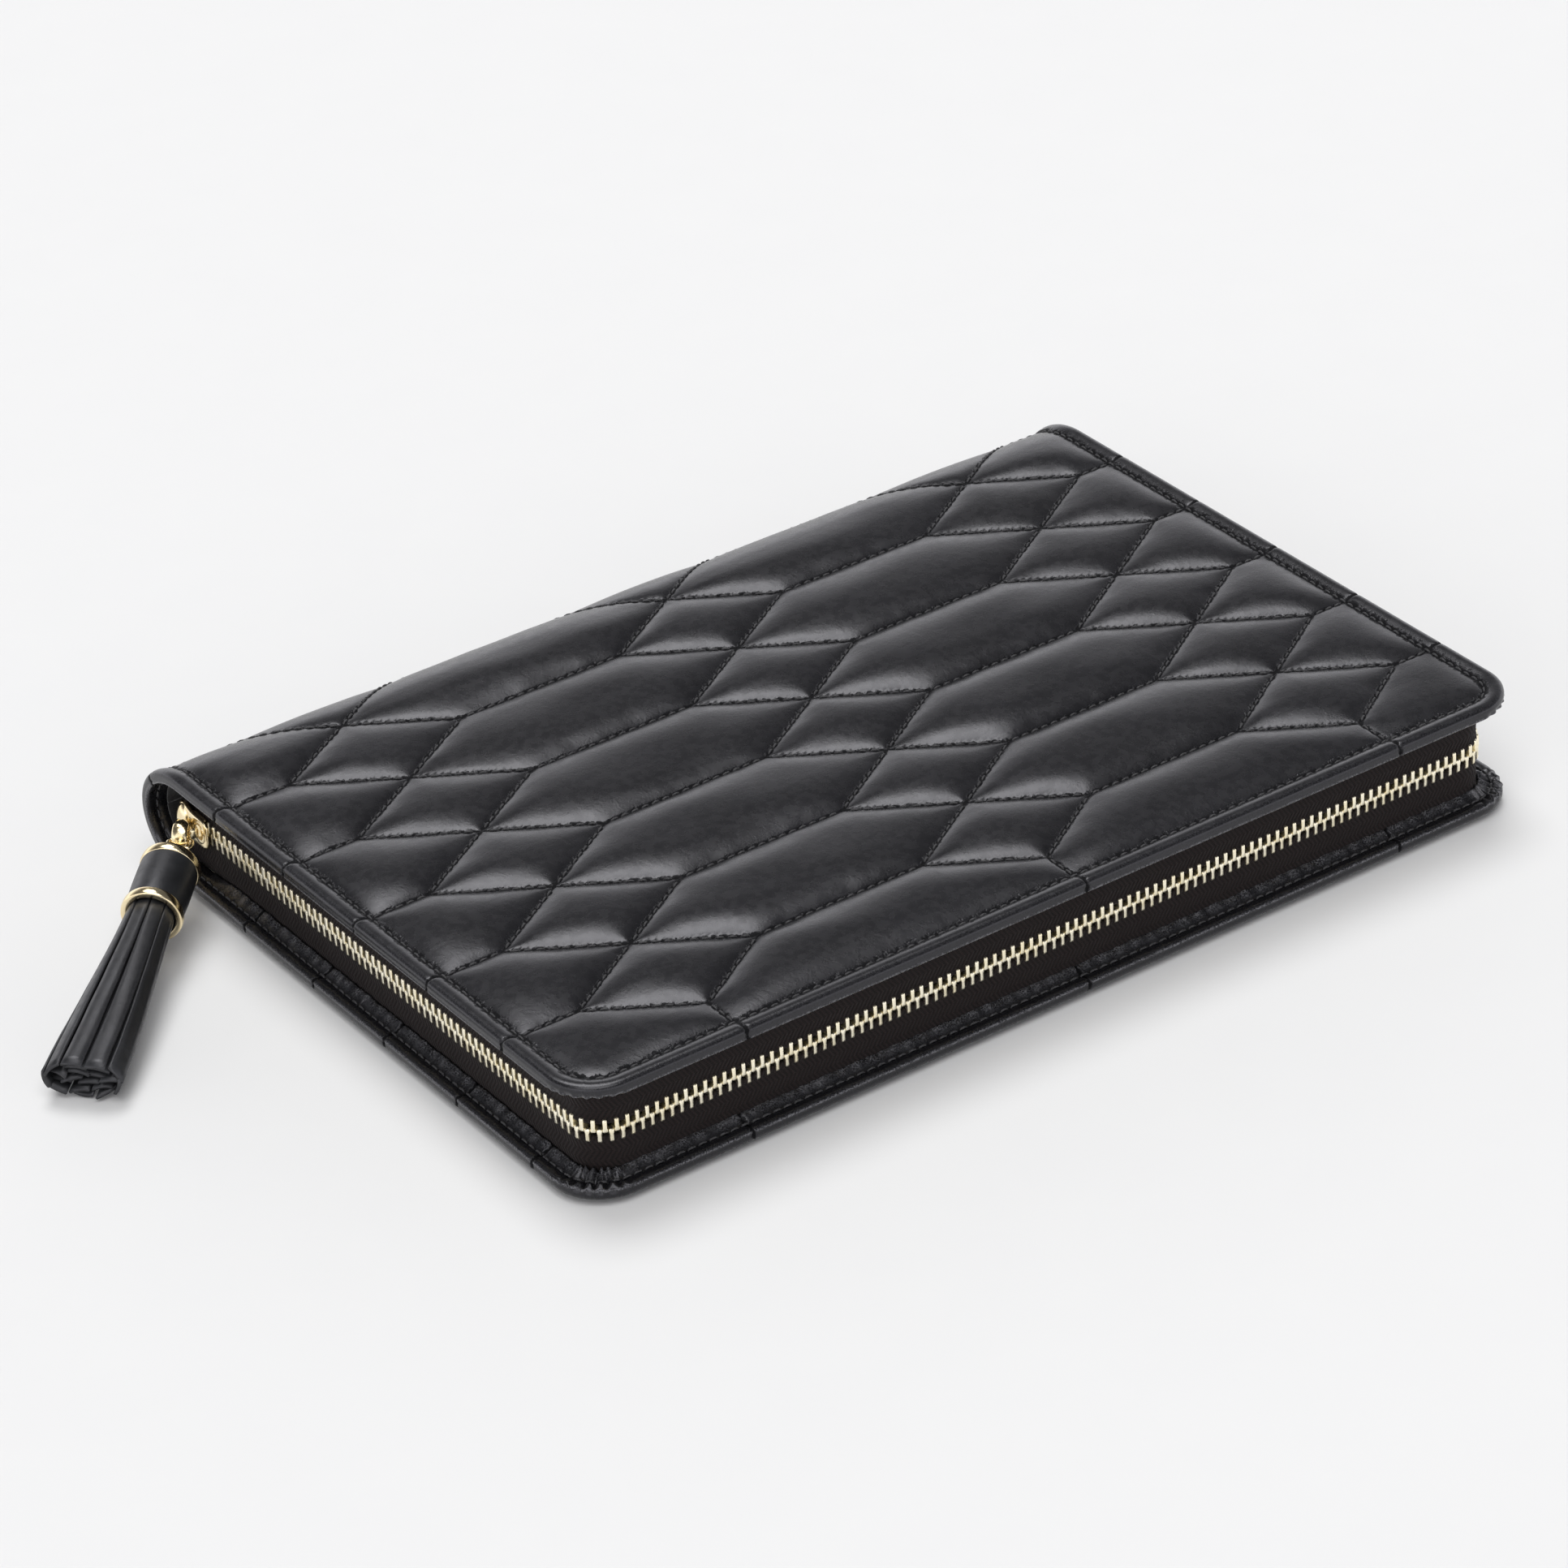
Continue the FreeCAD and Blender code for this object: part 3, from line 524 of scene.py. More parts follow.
def column_lines():
    lines = list(-HALF_X + EDGE_INSETS)
    here = lines[-1]
    for column in COLUMNS:
        gap = column - DIAMOND - here
        steps = max(2, round(gap / LONG_STEP))
        lines += [here + gap * k / steps for k in range(1, steps)]
        lines += [column - DIAMOND * (1 - f) for f in fractions()]
        lines += [column + DIAMOND * f for f in fractions()]
        here = column + DIAMOND
    lines += [here, (here + HALF_X - CORNER) / 2]
    return np.array([*lines, *(HALF_X - EDGE_INSETS[::-1])])


def row_lines():
    lines = list(Q_FRONT + EDGE_INSETS)
    lines.append((lines[-1] + FIRST_CROSSING) / 2)
    here = FIRST_CROSSING
    while here + PITCH / 2 < Q_END - STITCH_INSET:
        lines += [here + PITCH / 2 * f for f in fractions()]
        here += PITCH / 2
    return np.array([*lines, here, *(Q_END - inset for inset in reversed(RIM_INSETS))]), here


def spine_curve():
    """Share of the way, y, z and outward normal along the spine's half ellipse, from the lid to the base."""
    angle = np.linspace(math.pi / 2, -math.pi / 2, 721)
    y, z = SPINE_Y + BULGE * np.cos(angle), MID_Z + MID_Z * np.sin(angle)
    length = np.concatenate([[0], np.cumsum(np.hypot(np.diff(y), np.diff(z)))])
    return length / length[-1], y, z, unit(np.stack([np.cos(angle) / BULGE, np.sin(angle) / MID_Z], -1))


SPINE = spine_curve()


def surface(x, q):
    """Point and outward normal of the case's outer face at pattern coordinates x and q."""
    x, q = np.broadcast_arrays(np.asarray(x, float), np.asarray(q, float))
    share = np.clip((q - Q_LID_END) / SPINE_PATTERN, 0, 1)
    length, y, z, normal = SPINE
    y = np.interp(share, length, y) + np.minimum(q - Q_LID_END, 0) - np.maximum(q - Q_BASE_START, 0)
    z = np.interp(share, length, z)
    ny, nz = np.interp(share, length, normal[:, 0]), np.interp(share, length, normal[:, 1])
    return xyz(x, y, z), unit(xyz(0, ny, nz))


def off_surface(x, q, height):
    """Points at a height over the outer face. The base's quilting is set in, to stand on the floor."""
    place, normal = surface(x, q)
    lift = BASE_LIFT * smoothstep(q, Q_SPINE_MID, Q_BASE_START)
    return place + normal * (height - lift)[..., None]


def rounded(x, q):
    """Pulls the square corners at both front edges round, keeping each point's distance from the edge."""
    a = (np.abs(x) - (HALF_X - CORNER)) / CORNER
    b = np.where(q < Q_SPINE_MID, Q_FRONT + CORNER - q, q - (Q_END - CORNER)) / CORNER
    inside, a, b, pull = pulled_round(a, b)
    new_x = np.sign(x) * (HALF_X - CORNER + CORNER * a * pull)
    reach = CORNER * b * pull
    new_q = np.where(q < Q_SPINE_MID, Q_FRONT + CORNER - reach, Q_END - CORNER + reach)
    return np.where(inside, new_x, x), np.where(inside, new_q, q)


def straight_seams(x, q, last_crossing):
    """Distance to the seams that run out over the rims: level rows at the sides, columns at the fronts."""
    to_column = np.min([np.abs(x - column) for column in COLUMNS], axis=0)
    phase = np.mod(q - FIRST_CROSSING, PITCH)
    to_row = np.abs(phase - PITCH / 2)
    to_row = np.where(to_column >= DIAMOND, to_row, np.hypot(to_row, DIAMOND - to_column))
    off_pattern = (q < FIRST_CROSSING) | (q > last_crossing)
    return np.where(off_pattern, to_column, to_row), to_column, phase, off_pattern


def seam_distance(x, q, last_crossing):
    """Distance to the nearest quilting seam."""
    straight, to_column, phase, off_pattern = straight_seams(x, q, last_crossing)
    rise = np.minimum(phase, PITCH - phase)
    diagonal = np.abs(to_column * PITCH / 2 - rise * DIAMOND) / np.hypot(DIAMOND, PITCH / 2)
    on_diagonals = (to_column <= DIAMOND + ON_LINE) & ~off_pattern
    return np.minimum(straight, np.where(on_diagonals, diagonal, np.inf))


def notch_depth(distance):
    """The dip that a seam pulls into the rim."""
    return NOTCH * np.exp(-((distance / NOTCH_WIDTH) ** 2))


def puffed(xs, qs, fixed):
    """Padding height over the seams: a skin held down at the fixed points and pushed up by the wadding."""
    dx, dq = np.diff(xs), np.diff(qs)
    west = 2 / (dx[:-1] * (dx[:-1] + dx[1:]))
    east = 2 / (dx[1:] * (dx[:-1] + dx[1:]))
    south = (2 / (dq[:-1] * (dq[:-1] + dq[1:])))[:, None]
    north = (2 / (dq[1:] * (dq[:-1] + dq[1:])))[:, None]
    spring = 1 / PUFF_LENGTH**2
    total = west + east + south + north + spring
    height = np.zeros((len(qs), len(xs)))
    free = ~fixed[1:-1, 1:-1]
    for _ in range(PUFF_ROUNDS):
        across = west * height[1:-1, :-2] + east * height[1:-1, 2:]
        pulled = across + south * height[:-2, 1:-1] + north * height[2:, 1:-1] + CROWN * spring
        height[1:-1, 1:-1] = np.where(free, pulled / total, 0)
    return height


def round_corner_heights(height):
    """Turns the padding's height at the lid's front corners with the edge, so no crease runs inwards."""
    last = len(EDGE_INSETS) - 1
    line = CORNER - EDGE_INSETS
    index = np.arange(last + 1)
    nearest = np.minimum(index[:, None], index[None, :])
    share = smoothstep(np.arctan2(line[:, None], line[None, :] + 1e-9), 0, math.pi / 2)
    share[last, last] = 0.5
    made = height.copy()
    for target, source in ((made, height), (made[:, ::-1], height[:, ::-1])):
        at_side, at_front = source[last, :last + 1], source[:last + 1, last]
        target[:last + 1, :last + 1] = (1 - share) * at_side[nearest] + share * at_front[nearest]
    return made


def padding_offset(xs, qs, x, q, bent, seam, on_band):
    """Height of the quilting over the outer face, with its slack, puckers and soft dents."""
    height = round_corner_heights(puffed(xs, qs, (seam < ON_LINE) | on_band))
    taut = smoothstep(q, SPINE_Y - 8, SPINE_Y + 8) * (1 - smoothstep(q, Q_BASE_START - 8, Q_BASE_START + 8))
    loft = 1 + LOFT_VARIES * noise_plane(bent[0] / LOFT_SPAN, bent[1] / LOFT_SPAN, SEED)
    loft = loft * (1 - TAUT_SHARE * taut)
    to_front = np.minimum(q - Q_FRONT, Q_END - q) - THIN_CORNER
    to_corner = np.hypot(np.abs(bent[0]) - (HALF_X - THIN_CORNER), to_front)
    loft = loft * (1 - THIN_SHARE * np.exp(-((to_corner / THIN_REACH) ** 2)))
    ruffle = PUCKER * noise_plane(x / PUCKER_SPAN, q / PUCKER_SPAN, SEED + 1, 3)
    pucker = ruffle * np.exp(-seam / PUCKER_FADE) * smoothstep(seam, 0, 1.2)
    dent = DENT * noise_plane(bent[0] / DENT_SPAN, bent[1] / DENT_SPAN, SEED + 2, 3)
    soft = dent * smoothstep(height, 0.1, 0.9)
    return np.where(seam < ON_LINE, SEAM_DEPTH - SEAM_PRESS, SEAM_DEPTH + height * loft + pucker + soft)


def skin_faces(x, q, seam, last_crossing):
    """Quads of the pattern grid, cut in two where a seam runs from corner to corner."""
    rows, columns = x.shape
    on_seam = seam < ON_LINE
    middle_x, middle_q = (x[:-1, :-1] + x[1:, 1:]) / 2, (q[:-1, :-1] + q[1:, 1:]) / 2
    middle = seam_distance(middle_x, middle_q, last_crossing) < ON_LINE
    up = on_seam[:-1, :-1] & on_seam[1:, 1:] & middle
    down = on_seam[:-1, 1:] & on_seam[1:, :-1] & middle & ~up
    faces = []
    for (a, b, c, d), rising, falling in zip(grid_faces(rows, columns), up.ravel(), down.ravel()):
        if rising:
            faces += [(a, b, c), (a, c, d)]
        elif falling:
            faces += [(a, b, d), (b, c, d)]
        else:
            faces.append((a, b, c, d))
    return faces


def turned_edge(x, q, notch):
    """Rings of the edge that is turned in under the rims: points, seam distance, and the painted paleness of
    each ring (a highlight line and light on the curled strip).
    """
    place = surface(x, q)[0]
    along_x = np.sign(x) * np.maximum(np.abs(x) - (HALF_X - CORNER), 0)
    at_front = np.where(q < Q_SPINE_MID, Q_FRONT + CORNER - q, q - (Q_END - CORNER))
    along_y = -np.maximum(at_front, 0)
    side_on = (np.abs(x) > HALF_X - ON_LINE) & (at_front <= 0)
    outward = unit(xyz(along_x, np.where(side_on, 0, along_y), 0))
    turn = np.arctan2(np.abs(along_x), -along_y)
    in_corner = (at_front > 0) & (np.abs(along_x) > 0)
    fade = np.sin(np.clip(turn, 0, math.pi / 2) * 2) ** 0.5
    walk = walked(place)
    away = 1 - smoothstep(q, SPINE_Y - 16, SPINE_Y - 2) + smoothstep(q, Q_BASE_START + 2, Q_BASE_START + 16)
    pinch = notch_depth(notch)
    ripple = RIPPLE_SHORT * noise_line(walk / 1.1, SEED + 5) + RIPPLE_LONG * noise_line(walk / 3.1, SEED + 6)
    for out, deep, curl in UNDER_RINGS:
        under = smoothstep(-out, 0.6, 2.2)
        folds = np.sin(turn * PLEAT_RATE + 0.5 * np.sin(turn * 9 + out * 0.8))
        pleat = np.where(in_corner, folds * PLEAT_DEPTH * fade, 0) * smoothstep(-out, -0.1, 1.4)
        tuck = np.where(in_corner, (folds - 1) * PLEAT_TUCK * fade, 0) * smoothstep(-deep, 1.9, 2.9)
        crinkle = CRINKLE * noise_plane(walk / 0.5, np.full(len(walk), out / 0.55), SEED + 7, 2)
        crinkle = crinkle * smoothstep(-out, 2.9, 4.2) * away
        stitch_dip = STITCH_DIP * math.exp(-(((-out - UNDER_STITCH_INSET) / STITCH_DIP_WIDTH) ** 2))
        height = deep - CURL * curl * away + pleat + (pinch + ripple + crinkle + stitch_dip) * under
        outer = out + (tuck - pinch) * (1 - under)
        stitch_line = abs(-out - UNDER_STITCH_INSET) + 0.45 if out < -1 else NO_SEAM
        # Painted highlight along the lower edge, and painted light on the curled strip.
        edge_highlight = EDGE_HIGHLIGHT * math.exp(-(((deep + 2.95) / 0.3) ** 2))
        curl_painted_light = CURL_PAINTED_LIGHT * min(1, 2 * curl) * away * (1 + noise_line(walk / 0.9, SEED + 8))
        yield (
            off_surface(x, q, height) + outward * outer[:, None],
            np.minimum(notch, stitch_line),
            edge_highlight + curl_painted_light,
        )


def quilt_skin():
    """The whole wrap as one skin: points, faces, each point's pattern row q, its seam value and its paleness
    for edge wear and painted highlight.
    """
    xs = column_lines()
    qs, last_crossing = row_lines()
    x, q = np.meshgrid(xs, qs)
    bent = rounded(x, q)
    inset = np.minimum(HALF_X - np.abs(x), np.minimum(q - Q_FRONT, Q_END - q))
    seam = seam_distance(x, q, last_crossing)
    notch = straight_seams(x, q, last_crossing)[0]
    on_band = inset <= STITCH_INSET + ON_LINE
    band = np.interp(inset, RIM_INSETS, RIM_HEIGHTS)
    band = band - notch_depth(notch) * smoothstep(STITCH_INSET - inset, 0.1, 1.0)
    height = np.where(on_band, band, padding_offset(xs, qs, x, q, bent, seam, on_band))
    points = off_surface(*bent, height).reshape(-1, 3)
    points[:, 2] = np.maximum(points[:, 2], LOWEST)
    line = np.minimum(seam, RIM_SEAM_SHARPNESS * np.abs(inset - STITCH_INSET))
    # Pale band near the rim's edge: edge wear and painted highlight.
    rub = RIM_WEAR_AND_HIGHLIGHT * np.exp(-(((inset - RIM_PALE_INSET) / RIM_PALE_WIDTH) ** 2))
    kept = [[points], [q.ravel()], [line.ravel()], [rub.ravel()]]
    faces = skin_faces(x, q, seam, last_crossing)

    loop = boundary_loop(*x.shape)
    faces += skirt_faces(loop, len(UNDER_RINGS), x.size)
    for ring, ring_line, ring_rub in turned_edge(bent[0].flat[loop], bent[1].flat[loop], notch.flat[loop]):
        for group, values in zip(kept, (ring, q.flat[loop], ring_line, ring_rub)):
            group.append(values)
    points, q, line, rub = (np.concatenate(group) for group in kept)
    return points, faces, q, {"seam_mm": line, "rub": rub}, last_crossing


def vertex_normals(points, faces):
    """Area-weighted normals of every point."""
    normals = np.zeros_like(points)
    by_size = {}
    for face in faces:
        by_size.setdefault(len(face), []).append(face)
    for size, group in by_size.items():
        group = np.array(group)
        first, second = ((0, 2), (1, 3)) if size == 4 else ((0, 1), (0, 2))
        cross = np.cross(
            points[group[:, first[1]]] - points[group[:, first[0]]],
            points[group[:, second[1]]] - points[group[:, second[0]]],
        )
        for k in range(size):
            np.add.at(normals, group[:, k], cross)
    return unit(normals)


def bend_spine(piece, body):
    """Bakes a half of the spine's placement into its points, and leaves it on no body."""
    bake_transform(piece)


def build_wrap():
    """Cuts the skin into four pieces between pattern rows, with the whole skin's normals on each."""
    points, faces, q, values, last_crossing = quilt_skin()
    normals = vertex_normals(points, faces)
    centre = np.array([q[list(face)].mean() for face in faces])
    pieces = []
    names = ("lid_quilt", "spine_quilt_upper", "spine_quilt_lower", "base_quilt")
    for name, low, high in zip(names, Q_LIMITS, Q_LIMITS[1:]):
        chosen = [faces[k] for k in np.flatnonzero((centre >= low) & (centre < high))]
        used = np.unique(np.concatenate(chosen))
        renumber = np.full(len(points), -1)
        renumber[used] = np.arange(len(used))
        own = {key: value[used] for key, value in values.items()}
        own_faces = [[renumber[v] for v in face] for face in chosen]
        pieces.append(add_mesh(name, points[used], own_faces, LEATHER, own, normals[used]))
    lid, upper, lower, base = pieces
    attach(lid, "lid")
    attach(base, "base")
    bend_spine(upper, "lid")
    bend_spine(lower, "base")
    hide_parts("lid_cover", "lid_wadding")
    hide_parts("spine_cover", "spine_wadding", "upper_hinge_strip")
    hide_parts("lower_hinge_strip")
    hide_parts("base_cover", "base_wadding")
    return last_crossing


LAST_CROSSING = build_wrap()


# ---------------------------------------------------------------- stitching on the wrap

# Pitch, length and radius of the stitches on the wrap, and of those inside.
WRAP_STITCHES = (2.9, 2.25, 0.33)
FINE_STITCHES = (2.4, 1.8, 0.2)
# Each ring of a stitch: place along its length, rise, and share of its radius.
STITCH_SHAPE = ((-0.5, -0.3, 0.45), (-0.36, 0.0, 0.9), (0.0, 0.12, 1.0), (0.36, 0.0, 0.9), (0.5, -0.3, 0.45))
STITCH_SIDES = 6
STITCH_MARGIN = 0.6
HEADING_REACH = 0.4
SEAM_THREAD_LIFT, RIM_THREAD_LIFT = 0.02, 0.05


def add_stitches(builder, line, normals, size=WRAP_STITCHES, keep=None):
    """Short thread humps along a line that lies on a surface. keep marks the points that take stitches."""
    pitch, length, radius = size
    walk = walked(line)
    count = int((walk[-1] - STITCH_MARGIN) / pitch)
    first = (walk[-1] - (count - 1) * pitch) / 2
    around = np.linspace(0, 2 * math.pi, STITCH_SIDES, endpoint=False)
    faces = ring_faces(len(STITCH_SHAPE), STITCH_SIDES)

    def at(values, distance):
        return np.array([np.interp(distance, walk, values[:, i]) for i in range(3)])

    for k in range(count):
        here = first + k * pitch
        if keep is not None and not keep[int(round(np.interp(here, walk, np.arange(len(line)))))]:
            continue
        along = unit(at(line, here + HEADING_REACH) - at(line, here - HEADING_REACH))
        side = unit(np.cross(unit(at(normals, here)), along))
        up = np.cross(along, side)
        round_it = np.cos(around)[:, None] * side + np.sin(around)[:, None] * up
        centre = at(line, here)
        rings = []
        for t, rise, thick in STITCH_SHAPE:
            rings.append(centre + along * t * length + up * rise + radius * thick * round_it)
        builder.add(np.concatenate(rings), faces)


def seam_segments():
    """Ends of every straight quilting seam, as x and q pairs."""
    segments = []
    for k in range(round((LAST_CROSSING - FIRST_CROSSING) / (PITCH / 2))):
        q0 = FIRST_CROSSING + k * PITCH / 2
        q1 = q0 + PITCH / 2
        for column in COLUMNS:
            for side in (-1, 1):
                ends = (column, column + side * DIAMOND)[:: 1 if k % 2 == 0 else -1]
                segments.append(((ends[0], q0), (ends[1], q1)))
        if k % 2 == 0:
            points = [column + side * DIAMOND for column in COLUMNS for side in (-1, 1)]
            stops = [-HALF_X + STITCH_INSET, *points, HALF_X - STITCH_INSET]
            segments += [((left, q1), (right, q1)) for left, right in zip(stops[::2], stops[1::2])]
    for column in COLUMNS:
        segments.append(((column, Q_FRONT + STITCH_INSET), (column, FIRST_CROSSING)))
        segments.append(((column, LAST_CROSSING), (column, Q_END - STITCH_INSET)))
    return segments


def walk_round(corners, step, fewest=1):
    """Points along straight runs from corner to corner."""
    runs = []
    for start, end in zip(corners, corners[1:]):
        start, end = np.array(start, float), np.array(end, float)
        steps = max(fewest, int(np.linalg.norm(end - start) / step))
        runs.append(start + (end - start) * np.linspace(0, 1, steps, endpoint=False)[:, None])
    return np.concatenate(runs)


def inset_loop(inset):
    """x and q along a line at one distance from the wrap's edge, going once round."""
    x, low, high = HALF_X - inset, Q_FRONT + inset, Q_END - inset
    return rounded(*walk_round([(-x, low), (x, low), (x, high), (-x, high), (-x, low)], 0.6).T)


def stitch_wrap():
    builders = [Builder() for _ in range(4)]

    def run(x, q, depth, side=1):
        line = off_surface(x, q, np.full(len(x), depth))
        normal = surface(x, q)[1] * side
        for builder, low, high in zip(builders, Q_LIMITS, Q_LIMITS[1:]):
            add_stitches(builder, line, normal, keep=(low <= q) & (q < high))

    t = np.linspace(0, 1, 40)
    for (x0, q0), (x1, q1) in seam_segments():
        run(x0 + (x1 - x0) * t, q0 + (q1 - q0) * t, SEAM_DEPTH + SEAM_THREAD_LIFT)
    run(*inset_loop(STITCH_INSET), SEAM_DEPTH + RIM_THREAD_LIFT)
    run(*inset_loop(UNDER_STITCH_INSET), UNDER_STITCH_DEPTH, side=-1)
    names = ("lid_stitching", "spine_stitching_upper", "spine_stitching_lower", "base_stitching")
    lid, upper, lower, base = [b.mesh(name, THREAD) for b, name in zip(builders, names)]
    settle(lid, "lid")
    settle(base, "base")
    bend_spine(upper, "lid")
    bend_spine(lower, "base")


stitch_wrap()


# ---------------------------------------------------------------- zip tapes and teeth

TAPE_LOW, TAPE_HIGH = box_mm("lower_zip_tape")
TAPE_HALF_X = float(TAPE_HIGH[0])
TAPE_T = 0.9
TAPE_STEP = 1.2
TAPE_FOOT_Z = 4.5
TEETH_REAR_Y = 82.2
TEETH_STEP = 2.0
TAPE_R = 8.4
# The U that the tape follows: half its width, its front, its corner radius and its rear.
TAPE_PATH = (TAPE_HALF_X, float(TAPE_LOW[1]), TAPE_R, float(TAPE_HIGH[1]))
TEETH_PATH = (*TAPE_PATH[:3], TEETH_REAR_Y)
# Outward distance and height.
TAPE_SECTION = (
    (-0.85, TAPE_FOOT_Z), (0.0, TAPE_FOOT_Z), (0.1, 6.0), (0.16, 8.0), (0.12, 10.0), (0.04, 11.8),
    (0.06, 12.7), (0.26, 13.2), (0.34, 13.75), (0.2, 14.25), (-0.2, 14.45), (-0.7, 14.45),
    (-1.1, 14.25), (-1.24, 13.75), (-1.16, 13.2), (-0.96, 12.7), (-0.9, 10.0), (-0.85, 7.0),
)


def u_lengths(half_x, front_y, radius, rear_y):
    """Length of a U's side, of its round corner and of its run across the front."""
    return rear_y - (front_y + radius), radius * math.pi / 2, 2 * (half_x - radius)


def u_place(length, half_x, front_y, radius, rear_y):
    """Plan point and outward direction at each distance along a U from the left rear to the right rear."""
    side, arc, across = u_lengths(half_x, front_y, radius, rear_y)
    d = np.asarray(length, float)
    turn1 = np.clip((d - side) / radius, 0, math.pi / 2)
    turn2 = np.clip((d - side - arc - across) / radius, 0, math.pi / 2)
    turn = turn1 + turn2
    x = -half_x + radius * (1 - np.cos(turn1)) + np.clip(d - side - arc, 0, across) + radius * np.sin(turn2)
    y = rear_y - np.clip(d, 0, side) - radius * np.sin(turn1) + radius * (1 - np.cos(turn2))
    y = y + np.maximum(d - side - 2 * arc - across, 0)
    return np.stack([x, y], -1), np.stack([-np.cos(turn), -np.sin(turn)], -1)


def u_path(half_x, front_y, radius, rear_y, step):
    """Plan points, outward directions and distances along that U, in even steps on each of its five runs."""
    side, arc, across = u_lengths(half_x, front_y, radius, rear_y)
    ends = np.cumsum([0, side, arc, across, arc, side])
    counts = [max(2, math.ceil((b - a) / step)) for a, b in zip(ends, ends[1:])]
    marks = [np.linspace(a, b, count, endpoint=False) for a, b, count in zip(ends, ends[1:], counts)]
    length = np.append(np.concatenate(marks), ends[-1])
    return *u_place(length, half_x, front_y, radius, rear_y), length


def mirrored(points):
    """The same points on the lid side."""
    points = np.array(points, float)
    points[..., 2] = HEIGHT - points[..., 2]
    return points


def on_side(points, faces, upper):
    """Moves a shape that was made for the base to the lid, if it belongs there."""
    return (mirrored(points), flipped(faces)) if upper else (points, faces)


def swept_wall(plan, outward, section, closed=False):
    """A wall along a plan path, from a closed section of outward distance and height."""
    out, high = np.array(section).T
    rows = [xyz(x + ox * out, y + oy * out, high) for (x, y), (ox, oy) in zip(plan, outward)]
    return np.concatenate(rows), flipped(ring_faces(len(rows), len(section), closed))


def zip_tape(side, body, upper):
    plan, outward, length = u_path(*TAPE_PATH, TAPE_STEP)
    points, faces = swept_wall(plan, outward, TAPE_SECTION)
    count = len(TAPE_SECTION)
    walk, across = np.repeat(length, count), np.repeat(outward, count, 0)
    weave = np.stack([walk, points[:, 2], np.tile([out for out, _ in TAPE_SECTION], len(plan))], -1)
    sway = 0.1 * noise_line(walk / 9, SEED + 11 + upper) + 0.05 * noise_line(walk / 3.1, SEED + 13)
    bow = np.sin((points[:, 2] - TAPE_FOOT_Z) / 9 * math.pi).clip(0, 1)
    points[:, :2] += across * (sway * bow)[:, None]
    points, faces = on_side(points, faces, upper)
    tape = add_mesh(f"{side}_tape_woven", points, faces, TAPE, {"weave_mm": weave})
    settle(tape, body, [f"{side}_zip_tape"])


TOOTH_PITCH = 2.6
TOOTH_MIDDLE = np.array([0.0, -1.05])
# One side of a tooth's outline, as distance along the zip and height over the middle of the chain.
TOOTH_HALF = ((0.36, -3.0), (0.5, -2.75), (0.48, -0.75), (0.62, -0.38), (0.63, 0.3), (0.4, 0.5))
# Each ring of a tooth: how far out it stands, and the outline's size there.
TOOTH_RINGS = ((0.78, 0.72), (0.66, 0.93), (0.45, 1.0), (-1.35, 1.0), (-1.56, 0.93), (-1.68, 0.72))


def zip_teeth(side, body, upper):
    builder = Builder()
    outline = np.array([(-0.36, -3.0), *TOOTH_HALF, *((-t, z) for t, z in TOOTH_HALF[:0:-1])])
    faces = flipped(ring_faces(len(TOOTH_RINGS), len(outline)))
    total = u_path(*TEETH_PATH, TEETH_STEP)[2][-1]
    distance = TOOTH_PITCH if upper else TOOTH_PITCH / 2
    rng = np.random.default_rng(SEED + 31 + upper)
    while distance < total - 0.5:
        place, outward = u_place(distance, *TEETH_PATH)
        along = np.array([-outward[1], outward[0]])
        tilt, shift = rng.normal(0, 0.012), rng.normal(0, 0.03)
        rings = []
        for out, size in TOOTH_RINGS:
            t, z = (TOOTH_MIDDLE + (outline - TOOTH_MIDDLE) * size).T
            t = t + z * tilt + shift
            plan = place + outward * out + t[:, None] * along
            rings.append(np.concatenate([plan, (MID_Z + z)[:, None]], 1))
        builder.add(*on_side(np.concatenate(rings), faces, upper))
        distance += TOOTH_PITCH
    settle(builder.mesh(f"{side}_teeth_gold", TOOTH_GOLD), body, [f"{side}_teeth"])


for half in HALVES:
    zip_tape(*half)
for half in HALVES:
    zip_teeth(*half)


# ---------------------------------------------------------------- slider, ring and tassel

SLIDER_LOW, SLIDER_HIGH = box_mm("slider_body")
PIVOT_Y = 82.5
PLATE_T = 1.2
PLATE_CENTRE = np.array([82.0, 0.0])
HEART = (
    (75.2, 0.0), (75.15, 1.6), (75.3, 2.7), (75.9, 3.5), (77.0, 3.9), (79.0, 4.0), (81.0, 4.1),
    (82.4, 4.35), (83.6, 4.85), (84.8, 5.3), (86.0, 5.45), (87.0, 5.1), (87.7, 4.3), (87.95, 3.2),
    (87.7, 2.0), (87.1, 1.0), (86.6, 0.0),
)
# Depth under the plate's face, and size of the outline there.
PLATE_EDGE = ((PLATE_T, 0.94), (PLATE_T - 0.2, 1.0), (0.55, 1.0), (0.25, 0.97), (0.08, 0.91))
OUTER_FACE = ((0.0, 0.82), (-0.12, 0.6), (-0.16, 0.3))
INNER_FACE = ((0.0, 0.8),)
RAIL_Y = np.linspace(77.2, 82.2, 8)
RAIL_INSET, RAIL_THICK, RAIL_WIDE = 0.42, 0.34, 0.62
BAIL_RISE, BAIL_REACH = 3.1, 3.35
WEDGE = ((84.0, 0), (84.9, 1.05), (86.3, 1.25), (86.9, 0.6), (86.9, -0.6), (86.3, -1.25), (84.9, -1.05))
# Each dome on the outer plate: depth, y, half width, half height and rise.
LOBES = ((0.7, 85.4, 3.0, 5.3, 2.3), (0.2, 78.3, 2.6, 2.9, 0.8))


